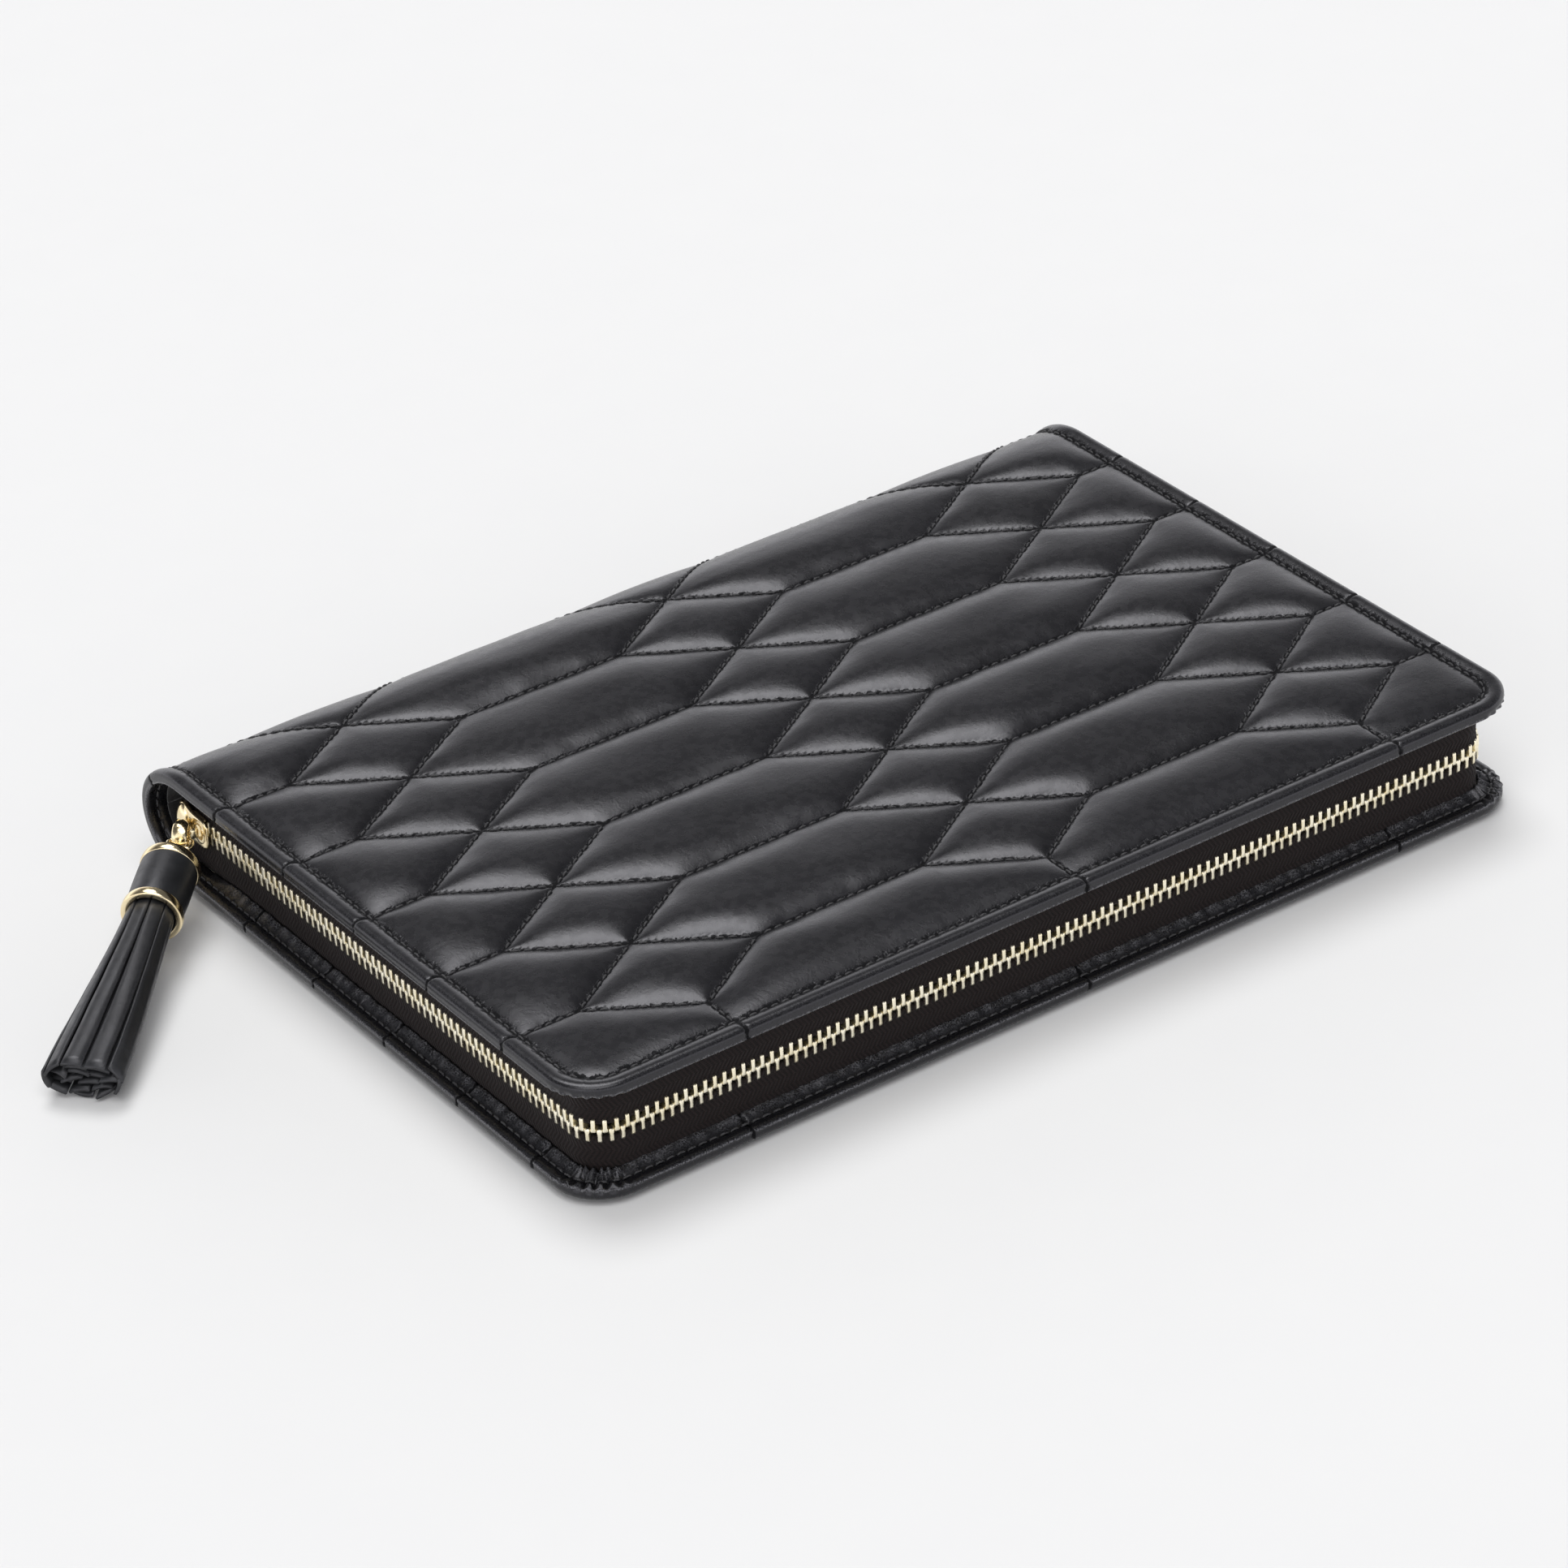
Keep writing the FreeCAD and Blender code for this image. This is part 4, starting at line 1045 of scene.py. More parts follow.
def plate(builder, rings):
    """A heart-shaped plate with rounded edges. rings are x and size pairs from one face to the other."""
    half = np.array(HEART)
    outline = np.concatenate([half, (half * (1, -1))[-2:0:-1]])
    points = []
    for x, size in rings:
        y, z = (PLATE_CENTRE + (outline - PLATE_CENTRE) * size).T
        points.append(xyz(x, y, MID_Z + z))
    builder.add(np.concatenate(points), flipped(ring_faces(len(rings), len(outline))))


def tube_along(builder, line, across, thick_n, thick_b, sides=12, closed=False):
    """A rounded bar along a line; across is its flat direction at each point."""
    line = np.asarray(line, float)
    tangent = unit(np.roll(line, -1, 0) - np.roll(line, 1, 0) if closed else np.gradient(line, axis=0))
    across = np.broadcast_to(np.asarray(across, float), line.shape)
    side = unit(across - tangent * (across * tangent).sum(-1, keepdims=True))
    normal = np.cross(tangent, side)
    around = np.linspace(0, 2 * math.pi, sides, endpoint=False)[None, :, None]
    size_n, size_b = (np.broadcast_to(size, (len(line),))[:, None, None] for size in (thick_n, thick_b))
    points = line[:, None] + size_b * np.cos(around) * side[:, None]
    points = points + size_n * np.sin(around) * normal[:, None]
    builder.add(points.reshape(-1, 3), ring_faces(len(line), sides, closed))


def lobe(builder, x, y, half_y, half_z, rise, rings=8, around=28):
    """A smooth dome that stands out from the slider's outer plate."""
    turn = np.linspace(0, 2 * math.pi, around, endpoint=False)
    points = []
    for climb in np.arange(rings) / rings * math.pi / 2:
        size = math.cos(climb)
        ring_y, ring_z = y + half_y * size * np.cos(turn), MID_Z + half_z * size * np.sin(turn)
        points.append(xyz(x - rise * math.sin(climb), ring_y, ring_z))
    builder.add(np.concatenate(points), flipped(ring_faces(rings, around, caps=(False, True))))


def build_slider():
    out_x, in_x = float(SLIDER_LOW[0]), float(SLIDER_HIGH[0])
    body = Builder()
    plate(body, [(out_x + deep, size) for deep, size in (PLATE_EDGE + OUTER_FACE)[::-1]])
    plate(body, [(in_x - deep, size) for deep, size in PLATE_EDGE + INNER_FACE])
    edge_y, edge_z = np.array(HEART[2:9]).T
    for sign in (-1, 1):
        for x in (out_x + PLATE_T + 0.25, in_x - PLATE_T - 0.25):
            z = MID_Z + sign * np.interp(RAIL_Y, edge_y, edge_z - RAIL_INSET)
            tube_along(body, xyz(x, RAIL_Y, z), (1, 0, 0), RAIL_THICK, RAIL_WIDE, 8)
    ends = (out_x + PLATE_T - 0.1, in_x - PLATE_T + 0.1)
    post = [(x, y, MID_Z + z) for x in ends for y, z in WEDGE]
    body.add(post, flipped(ring_faces(2, len(WEDGE), caps=(False, False))))
    for deep, *shape in LOBES:
        lobe(body, out_x + deep, *shape)
    settle(body.mesh("slider_gold", GOLD), "zip_slider", ["slider_body"])

    bail = Builder()
    t = np.linspace(0, math.pi, 25)
    rise = BAIL_RISE * np.sin(t) ** 0.7
    line = xyz(out_x - 0.02 - rise, PIVOT_Y - BAIL_REACH * np.cos(t), MID_Z)
    tube_along(bail, line, UP, 0.5, 0.95 + 0.5 * np.abs(np.cos(t)) ** 3)
    settle(bail.mesh("slider_bridge", GOLD), "zip_slider", ["slider_bail"])


RING_R = 3.4
EYE_HALF_WIDTH, EYE_HALF_LENGTH = 2.95, 1.78
RING_CENTRE = np.mean(box_mm("pull_ring"), axis=0)
TASSEL_YAW = math.radians(225)
TASSEL_LENGTH = 91.0
TIP_HALF_THICK = 5.6
FLOOR_CLEARANCE = 0.1
# The tassel droops until the underside of its tip is just clear of the floor.
TIP_REACH = math.hypot(TASSEL_LENGTH, TIP_HALF_THICK)
DROOP = math.asin((MID_Z - FLOOR_CLEARANCE) / TIP_REACH) - math.atan2(TIP_HALF_THICK, TASSEL_LENGTH)
HEADING = np.array([math.cos(TASSEL_YAW), math.sin(TASSEL_YAW), 0])
ALONG = HEADING * math.cos(DROOP) - UP * math.sin(DROOP)
ACROSS = np.cross(HEADING, UP)
UNDER = np.cross(ALONG, ACROSS)

# Profiles are radius and distance pairs along the tassel.
BELL_PROFILE = (
    (0.9, 5.0), (1.15, 5.4), (1.25, 6.0), (1.15, 6.7), (1.5, 7.1), (2.3, 7.5), (3.4, 8.1), (4.3, 9.0),
    (5.0, 10.1), (5.5, 11.2), (5.75, 11.9), (5.6, 12.0),
)
CORE_PROFILE = ((1.0, 14.0), (4.6, 14.0), (4.9, 14.5), (4.9, 29.5), (4.4, 30.2), (1.0, 30.2))
BELL_END = 11.8
CAP_END = 29.0
BAND_H = 1.8
BAND_EXTRA = 0.8
BAND_BORE = 6.0
# Each ring on the tassel: its name, its CAD node's word, its radius and where it starts.
BANDS = (("upper", "top", 7.4, BELL_END), ("lower", "low", 7.65, CAP_END))
# Each layer of strands: how many, its size, and its first strand's share of a turn.
STRAND_LAYERS = ((9, 1.0, 0.1), (7, 0.74, 0.5), (4, 0.34, 0.2))
STRAND_START = 26.0
STRAND_STEPS = 26
STRAND_SIDE = ((-1, -0.4), (-0.98, 0.55), (-0.9, 0.95), (-0.45, 1.0))
STRAND_UNDER = ((0.9, -0.95), (0.45, -1.0), (0, -1.0), (-0.45, -1.0), (-0.9, -0.95))
STRAND_SECTION = np.array([*STRAND_SIDE, (0, 1.0), *((-u, v) for u, v in STRAND_SIDE[::-1]), *STRAND_UNDER])
STRAND_HALF_T = 0.42
ROOT_HALF_W, TIP_HALF_W = 1.65, 2.55
ROOT_RADIUS = 4.9
TIP_RADII = (8.9, 4.85)


def on_tassel(a, b, t):
    """Points from tassel coordinates: a level, b downwards, t along from the ring's centre."""
    a, b, t = (np.asarray(v, float)[..., None] for v in (a, b, t))
    return RING_CENTRE + a * ACROSS + b * UNDER + t * ALONG


def lathe(builder, profile, segments=64, ends=False, wobble=None):
    """A turned shape round the tassel's line from radius and distance pairs."""
    around = np.linspace(0, 2 * math.pi, segments, endpoint=False)
    rows = []
    for radius, t in profile:
        r = radius + (wobble(around, t) if wobble else 0)
        rows.append(on_tassel(r * np.cos(around), r * np.sin(around), np.full(segments, t)))
    builder.add(np.concatenate(rows), ring_faces(len(profile), segments, caps=(ends, ends)))


def band_profile(radius, start, height):
    """Rounded metal ring, from the bore round the outside and back."""
    bore, end, middle, half = BAND_BORE, start + height, start + height / 2, height / 2
    turns = np.linspace(-math.pi / 2, math.pi / 2, 13)
    bulge = [(radius - 0.75 + 0.75 * math.cos(a) ** 0.5, middle + half * math.sin(a)) for a in turns]
    return [(bore, start + 0.1), (bore + 0.2, start), *bulge, (bore + 0.2, end), (bore, end - 0.1)]


def cap_overlap(around, t):
    """The cap's leather is rolled round once, and its end lies on its start."""
    step = 1 / (1 + np.exp(-(around - 2.2) * 16)) * (around < 6.0)
    return 0.28 * step + 0.05 * np.sin(around * 3 + t / 4)


def rounded_wave(wave, power=0.6):
    """Turns a circle's wave into that of a rounded square."""
    return np.sign(wave) * np.abs(wave) ** power


def tassel_piece(builder, name, material, node):
    settle(builder.mesh(name, material), "tassel", [node])


def build_tassel():
    ring = Builder()
    t = np.linspace(0, 2 * math.pi, 56, endpoint=False)
    line = RING_CENTRE + RING_R * (np.cos(t)[:, None] * HEADING + np.sin(t)[:, None] * UP)
    tube_along(ring, line, ACROSS, 0.6, 0.75 + 1.2 * smoothstep(np.cos(t), -0.55, 0.2), 18, closed=True)
    settle(ring.mesh("pull_link", GOLD), "pull", ["pull_ring"])

    bell = Builder()
    t = np.linspace(0, 2 * math.pi, 40, endpoint=False)
    eye_a = EYE_HALF_WIDTH * rounded_wave(np.cos(t))
    eye = on_tassel(eye_a, np.zeros(len(t)), RING_R + EYE_HALF_LENGTH * rounded_wave(np.sin(t)))
    tube_along(bell, eye, UNDER, 0.55, 0.6, 10, closed=True)
    lathe(bell, BELL_PROFILE, ends=True)
    tassel_piece(bell, "tassel_bell_gold", GOLD, "tassel_bell")

    for name, node, radius, start in BANDS:
        band = Builder()
        lathe(band, band_profile(radius, start - BAND_EXTRA / 2, BAND_H + BAND_EXTRA), 72)
        tassel_piece(band, f"tassel_band_{name}", GOLD, f"tassel_{node}_band")

    cap = Builder(("seam_mm", "rub"))
    start, end = BELL_END + 0.9, CAP_END + 0.7
    profile = [(5.4, start), (6.2, start + 0.1), (6.6, start + 0.4), (6.75, start + 1.2)]
    profile += [(6.78 + 0.1 * math.sin(k / 8 * math.pi), start + 1.5 + k * 1.6) for k in range(9)]
    profile += [(6.7, end - 0.8), (6.55, end - 0.2), (6.2, end), (5.4, end - 0.1)]
    lathe(cap, profile, 96, wobble=cap_overlap)
    cap.values["seam_mm"] = [np.full(cap.count, NO_SEAM)]
    tassel_piece(cap, "tassel_cap_leather", TASSEL_LEATHER, "tassel_cap")

    strands = Builder(("seam_mm", "rub"))
    rng = np.random.default_rng(SEED + 41)
    for layer, (count, size, first) in enumerate(STRAND_LAYERS):
        for k in range(count):
            strand(strands, (k + first) / count * 2 * math.pi, size, layer, rng)
    tassel_piece(strands, "tassel_strands_cut", TASSEL_LEATHER, "tassel_strands")

    core = Builder()
    lathe(core, CORE_PROFILE, 40, ends=True)
    tassel_piece(core, "tassel_core_roll", SUEDE, "tassel_core")


def strand(builder, angle, size, layer, rng):
    """One cut strip of leather: narrow in the cap, wider and slightly cupped towards its cut end."""
    end = TASSEL_LENGTH - 0.3 - abs(rng.normal(0, 0.8)) - layer * 0.6
    t = np.linspace(STRAND_START, end, STRAND_STEPS)
    share = (t - STRAND_START) / (TASSEL_LENGTH - STRAND_START)
    spread = smoothstep(share, -0.15, 1.05)
    radius_a, radius_b = ((ROOT_RADIUS + (tip - ROOT_RADIUS) * spread) * size for tip in TIP_RADII)
    drift = rng.normal(0, 0.03) * share + 0.02 * noise_line(share * 5, int(rng.integers(1e6)))
    turn = angle + drift
    ripple = 0.12 * noise_line(share * 7, int(rng.integers(1e6))) * share
    stagger = (0.22 if round(angle * 100) % 2 else -0.2) * (1 - 0.4 * share)
    centre_a = (radius_a + ripple + stagger * size) * np.cos(turn) + 1.2 * share**2
    centre_b = (radius_b + ripple + stagger * size) * np.sin(turn)
    tangent = unit(np.stack([-radius_a * np.sin(turn), radius_b * np.cos(turn)], -1))
    if layer:
        tangent = np.broadcast_to(np.array([1.0, 0.0]), tangent.shape)
    twist = rng.normal(0, 0.16) * share
    cos, sin = np.cos(twist)[:, None], np.sin(twist)[:, None]
    outward = np.stack([tangent[:, 1], -tangent[:, 0]], -1)
    wide, thin = tangent * cos + outward * sin, outward * cos - tangent * sin
    half_w = ROOT_HALF_W + (TIP_HALF_W - ROOT_HALF_W) * share + rng.normal(0, 0.1)
    cup = rng.uniform(0.1, 0.42)
    slope = rng.normal(0, 0.5)
    u, v = STRAND_SECTION.T
    rows = []
    for i in range(STRAND_STEPS):
        wide_u = u * half_w[i]
        thin_v = v * STRAND_HALF_T - cup * (u**2 - 0.4) * (0.4 + share[i])
        a = centre_a[i] + wide[i, 0] * wide_u + thin[i, 0] * thin_v
        b = centre_b[i] + wide[i, 1] * wide_u + thin[i, 1] * thin_v
        cut = slope * u if i == STRAND_STEPS - 1 else 0
        rows.append(on_tassel(a, b, t[i] + cut))
    # Paler towards both edges of the strip.
    rub = np.tile(np.abs(u) ** 6 * 0.35, STRAND_STEPS)
    builder.add(np.concatenate(rows), ring_faces(STRAND_STEPS, len(u)), seam_mm=NO_SEAM, rub=rub)


build_slider()
build_tassel()


# ---------------------------------------------------------------- rounded blocks and sheets

EDGE_STEPS = 5


def round_lines(low, high, edge, step, extra=()):
    """Grid lines from low to high that step finely round an edge radius at both ends."""
    insets = edge * (1 - np.cos(np.arange(EDGE_STEPS) / EDGE_STEPS * math.pi / 2))
    count = max(2, math.ceil((high - low - 2 * edge) / step))
    middle = np.linspace(low + edge, high - edge, count + 1)
    return np.unique(np.round([*(low + insets), *middle, *(high - insets), *extra], 4))


def round_corners(x, y, centre, half, corner, rear=True):
    """Pulls the corners of a rectangle's grid round in plan, keeping each point's distance from the edge."""
    a = (np.abs(x - centre[0]) - (half[0] - corner)) / corner
    b = (np.abs(y - centre[1]) - (half[1] - corner)) / corner
    inside, a, b, pull = pulled_round(a, b, rear | (y < centre[1]))
    new_x = centre[0] + np.sign(x - centre[0]) * (half[0] - corner + corner * a * pull)
    new_y = centre[1] + np.sign(y - centre[1]) * (half[1] - corner + corner * b * pull)
    return np.where(inside, new_x, x), np.where(inside, new_y, y)


def rounded_block(
    low, high, edge, corner, step=2.0, crown=0.0, dents=None, extra=((), ()), bulge=0.0, foot=0.0
):
    """A block with a rounded top edge and round corners.

    Its top falls by crown towards the edge, and dents(x, y, inset) is added to it. extra holds more
    grid lines in x and y, the walls stand out by bulge, and foot bevels the bottom edge.
    """
    xs, ys = (round_lines(low[i], high[i], edge, step, extra[i]) for i in (0, 1))
    x, y = np.meshgrid(xs, ys)
    centre, half = (low[:2] + high[:2]) / 2, (high[:2] - low[:2]) / 2
    inset = np.minimum(half[0] - np.abs(x - centre[0]), half[1] - np.abs(y - centre[1]))
    fall = edge - np.sqrt(np.maximum(edge**2 - np.maximum(edge - inset, 0) ** 2, 0))
    reach = max(edge * 1.01, min(half) * 0.7)
    z = high[2] - fall - crown * (1 - smoothstep(inset, 0, reach))
    if dents is not None:
        z = z + dents(x, y, inset)
    points = [xyz(*round_corners(x, y, centre, half, corner), z).reshape(-1, 3)]
    faces = grid_faces(*x.shape)
    loop = boundary_loop(*x.shape)
    rim = points[0][loop]
    along = unit(rim[:, :2] - np.roll(rim[:, :2], 1, 0) + np.roll(rim[:, :2], -1, 0) - rim[:, :2])
    outward = np.stack([along[:, 1], -along[:, 0]], -1)
    levels = [(0.25, 0), (0.5, 0), (0.75, 0), *([(0.8, 0), (1.0, foot)] if foot else [(1.0, 0)])]
    bottom = low[2] + foot
    for share, tuck in levels:
        ring = rim.copy()
        ring[:, 2] = rim[:, 2] + (bottom - tuck - rim[:, 2]) * share
        ring[:, :2] += outward * (bulge * math.sin(math.pi * share) - tuck)
        points.append(ring)
    faces += skirt_faces(loop, len(levels), x.size)
    last = x.size + len(loop) * (len(levels) - 1)
    faces.append(range(last, last + len(loop))[::-1])
    return np.concatenate(points), faces


def thick_sheet(points, normals, thickness):
    """A sheet of even thickness behind a grid of points."""
    rows, columns = points.shape[:2]
    size = rows * columns
    front = grid_faces(rows, columns)
    faces = front + [tuple(v + size for v in face[::-1]) for face in front]
    loop = boundary_loop(rows, columns)
    faces += [(a, a + size, b + size, b) for a, b in zip(loop, np.roll(loop, -1))]
    return np.concatenate([points.reshape(-1, 3), (points - normals * thickness).reshape(-1, 3)]), faces


def stitch_rectangle(builder, low, high, inset, z, up):
    """Fine stitches once round a box, at one distance inside its sides."""
    x0, y0, x1, y1 = *(low[:2] + inset), *(high[:2] - inset)
    plan = walk_round([(x0, y0), (x1, y0), (x1, y1), (x0, y1), (x0, y0)], 1.0, fewest=2)
    line = xyz(*plan.T, z)
    add_stitches(builder, line, np.broadcast_to(up, line.shape), FINE_STITCHES)


# ---------------------------------------------------------------- lining, walls and pads inside

LINING_LOW, LINING_HIGH = box_mm("base_lining")
LINING_CORNER = 7.4
GUSSET_TOP = float(box_mm("base_gusset")[1][2]) - 0.6
GUSSET_STEP = 1.5
GUSSET_RIPPLE, GUSSET_WAVE = 0.13, 0.1
LINING_WAVE = 0.06
# Outward distance, and height from the wall's top or, on its back, from the floor.
GUSSET_PROFILE = (
    (0.0, -1.2), (-0.12, -0.55), (-0.45, -0.14), (-1.0, 0), (-1.55, -0.14), (-1.88, -0.55), (-2.05, -1.2),
)
GUSSET_BACK = ((-2.12, 3.2), (-2.1, 1.2), (-2.0, 0.3), (-1.9, 0))
SPINE_SHEET_INSET = 3.75
SPINE_SHEET_T = 0.7
SPINE_SHEET_COLUMNS = 180
SPINE_SHEET_END = math.pi / 2 - 0.02
TURNED_EDGE = 5.4


def build_linings():
    """Suede laid over the board of each half."""
    low, high = LINING_LOW, LINING_HIGH
    fine = np.linspace(0, LINING_CORNER, 10)
    xs = np.unique([*np.linspace(low[0], high[0], 120), *(low[0] + fine), *(high[0] - fine)])
    ys = np.unique([*np.linspace(low[1], high[1], 84), *(low[1] + fine)])
    x, y = np.meshgrid(xs, ys)
    centre, half = (low[:2] + high[:2]) / 2, (high[:2] - low[:2]) / 2
    plan = round_corners(x, y, centre, half, LINING_CORNER, rear=False)
    for _, body, upper in HALVES:
        z = high[2] - LINING_WAVE + LINING_WAVE * noise_plane(x / 13, y / 13, SEED + 51 + upper)
        points, faces = thick_sheet(xyz(*plan, z), UP, high[2] - low[2] - 0.1)
        lining = add_mesh(f"{body}_lining_suede", *on_side(points, faces, upper), SUEDE)
        settle(lining, body, [f"{body}_lining"])


def build_gussets():
    """Padded walls behind the zip tapes, with a soft rounded top."""
    top, floor = GUSSET_TOP, float(LINING_HIGH[2])
    section = [(0.0, floor), *((out, top + z) for out, z in GUSSET_PROFILE)]
    section += [(out, floor + z) for out, z in GUSSET_BACK]
    path = (float(LINING_HIGH[0]), float(LINING_LOW[1]), LINING_CORNER, float(LINING_HIGH[1]))
    plan, outward, length = u_path(*path, GUSSET_STEP)
    walk, across = np.repeat(length, len(section)), np.repeat(outward, len(section), 0)
    for _, body, upper in HALVES:
        points, faces = swept_wall(plan, outward, section)
        rise = np.clip((points[:, 2] - floor) / (top - floor), 0, 1)
        ripple = GUSSET_RIPPLE * (noise_line(walk / 6, SEED + 61 + upper) - 1.2) * np.sin(math.pi * rise)
        points[:, :2] += across * ripple[:, None]
        points[:, 2] += GUSSET_WAVE * noise_line(walk / 8, SEED + 63 + upper) * smoothstep(rise, 0.6, 1)
        wall = add_mesh(f"{body}_gusset_wall", *on_side(points, faces, upper), SUEDE)
        settle(wall, body, [f"{body}_gusset"])


def build_spine_lining():
    """Suede round the inside of the spine, over the turned leather edges, split at the spine's middle."""
    half_x = HALF_X - TURNED_EDGE
    xs = np.linspace(-half_x, half_x, SPINE_SHEET_COLUMNS)
    deep_y, deep_z = BULGE - SPINE_SHEET_INSET, MID_Z - SPINE_SHEET_INSET
    for side, body, upper in HALVES:
        start, end = (0.0, SPINE_SHEET_END) if upper else (-SPINE_SHEET_END, 0.0)
        seed = SEED + 71 + upper
        angle, x = np.meshgrid(np.linspace(start, end, 30), xs, indexing="ij")
        fold = 0.1 * noise_line(x / 5, seed) * np.cos(angle) ** 2 + 0.06 * noise_plane(x / 9, angle * 3, seed)
        y, z = SPINE_Y + (deep_y + fold) * np.cos(angle), MID_Z + (deep_z + fold) * np.sin(angle)
        place = xyz(x, y, z)
        inward = -unit(xyz(0, np.cos(angle) / deep_y, np.sin(angle) / deep_z))
        points, faces = thick_sheet(place + inward * SPINE_SHEET_T, inward, SPINE_SHEET_T)
        piece = add_mesh(f"spine_lining_{side}", points, faces, SPINE_SUEDE)
        bend_spine(piece, body)
        if upper:
            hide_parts("spine_lining")


TRAY_WALL = 1.6
TRAY_CORNER = 2.6
TRAY_STEP = 4


def run_to(plan, outward, here):
    """Carries a wall's path straight on, to one step before a point."""
    start = plan[-1]
    count = int(np.linalg.norm(here - start) / TRAY_STEP)
    plan += [start + (here - start) * k / count for k in range(1, count)]
    outward += [outward[-1]] * (count - 1)


def build_tray():
    """Suede-covered frame with soft rounded top edges, and its two dividers."""
    low, high = box_mm("tray_frame")
    floor, top = low[2], high[2]
    left, right = low[0] + TRAY_CORNER, high[0] - TRAY_CORNER
    front, rear = low[1] + TRAY_CORNER, high[1] - TRAY_CORNER
    plan, outward = [], []
    turns = np.linspace(0, math.pi / 2, 7)
    corners = ((left, front, 1.0), (right, front, 1.5), (right, rear, 0.0), (left, rear, 0.5))
    for *centre, half_turns in corners:
        first = math.pi * half_turns
        round_it = [np.array([math.cos(first + a), math.sin(first + a)]) for a in turns]
        arc = [np.array(centre) + TRAY_CORNER * out for out in round_it]
        if plan:
            run_to(plan, outward, arc[0])
        plan += arc
        outward += round_it
    run_to(plan, outward, plan[0])
    middle = (top + floor) / 2
    section = [(0.0, floor), (0.05, middle), (0.0, top - 0.9), (-0.2, top - 0.3), (-TRAY_WALL / 2, top)]
    section += [(-1.4, top - 0.3), (-TRAY_WALL, top - 0.9), (-TRAY_WALL - 0.05, middle), (-TRAY_WALL, floor)]
    points, faces = swept_wall(plan, outward, section, closed=True)
    walk = np.repeat(np.arange(len(plan)), len(section))
    points[:, 2] += 0.07 * noise_line(walk / 3.0, SEED + 81) * smoothstep(points[:, 2], top - 2, top)
    settle(add_mesh("tray_frame_suede", points, faces, SUEDE), "base", ["tray_frame"])
    for side in ("left", "right"):
        node = f"tray_divider_{side}"
        low, high = box_mm(node)
        points, faces = rounded_block(low - (0, 0.4, 0), high + (0, 0.4, -0.1), 0.76, 0.78)
        points[:, 0] += 0.06 * noise_line(points[:, 1] / 5, SEED + 82)
        settle(add_mesh(f"{node}_suede", points, faces, SUEDE), "base", [node])


ROLL_SIDES = 44
ROLL_STATIONS = 44
ROLL_END = 5.5
ROLL_INSETS = np.array([0.04, 0.25, 0.6, 1.1, 1.8, 2.7, 3.8, ROLL_END])


def build_ring_rolls():
    """Round-topped padded bars, gathered at both ends."""
    around = np.linspace(0, 2 * math.pi, ROLL_SIDES, endpoint=False)
    for n in range(1, 5):
        node = f"ring_roll_{n}"
        low, high = box_mm(node)
        radius = (high[1] - low[1]) / 2
        centre_y, centre_z = (low[1] + high[1]) / 2, high[2] - radius
        middle = np.linspace(low[0] + ROLL_END, high[0] - ROLL_END, ROLL_STATIONS)[1:-1]
        rows = []
        for x in (*(low[0] + ROLL_INSETS), *middle, *(high[0] - ROLL_INSETS[::-1])):
            inset = min(x - low[0], high[0] - x)
            size = math.sqrt(max(0.0, 1 - max(0.0, 1 - inset / ROLL_END) ** 2.2))
            gather = 0.24 * np.sin(around * 17 + n) * math.exp(-inset / 3.2) * size
            soft = 0.13 * noise_plane(x / 9, around * 1.2, SEED + 90 + n, 3)
            r = radius * size + gather + soft * min(1.0, inset / 3)
            z = np.maximum(centre_z + r * np.sin(around), low[2])
            rows.append(xyz(x, centre_y + r * np.cos(around), z))
        piece = add_mesh(f"{node}_suede", np.concatenate(rows), ring_faces(len(rows), ROLL_SIDES), PAD_SUEDE)
        settle(piece, "base", [node])


HOLE_COLUMNS, HOLE_ROWS = 6, 4
HOLE_PAIR = 6.0
HOLE_R = 0.8
HOLE_DEPTH = 2.3
HOLE_LINES = np.array([-1.9, -1.3, -0.95, -0.7, -0.35, 0, 0.35, 0.7, 0.95, 1.3, 1.9])


def build_earring_pad():
    """A soft pad with rows of paired holes for studs."""
    low, high = box_mm("earring_pad")
    columns = low[0] + (high[0] - low[0]) * (np.arange(HOLE_COLUMNS) + 0.5) / HOLE_COLUMNS
    rows = low[1] + (high[1] - low[1]) * (np.arange(HOLE_ROWS) + 0.5) / HOLE_ROWS
    hole_x = np.concatenate([columns - HOLE_PAIR / 2, columns + HOLE_PAIR / 2])
    extra = [(holes[:, None] + HOLE_LINES).ravel() for holes in (hole_x, rows)]

    def dents(x, y, inset):
        to_x = np.min(np.abs(x[..., None] - hole_x), -1)
        to_y = np.min(np.abs(y[..., None] - rows), -1)
        far = np.hypot(to_x, to_y)
        hole = -HOLE_DEPTH * (1 - smoothstep(far, HOLE_R - 0.2, HOLE_R + 0.18))
        sunk = -0.35 * np.exp(-((far / 2.4) ** 2))
        return hole + sunk + 0.12 * noise_plane(x / 8, y / 8, SEED + 101) * smoothstep(inset, 0, 4)

    points, faces = rounded_block(low, high, 1.3, 3.0, 1.8, 0.7, dents, extra, bulge=0.15)
    settle(add_mesh("earring_pad_suede", points, faces, PAD_SUEDE), "base", ["earring_pad"])


def stitched_dents(line_inset, width, depth, wave, size, reach, seed):
    """Dents for a padded top: a groove under the stitches, and soft waves inside it."""

    def dents(x, y, inset):
        groove = -depth * np.exp(-(((inset - line_inset) / width) ** 2))
        return groove + wave * noise_plane(x / size, y / size, SEED + seed) * smoothstep(inset, *reach)

    return dents


PANEL_INSET = 1.5
PANELS = (("front", 0.35, 111), ("rear", 0.0, 112))


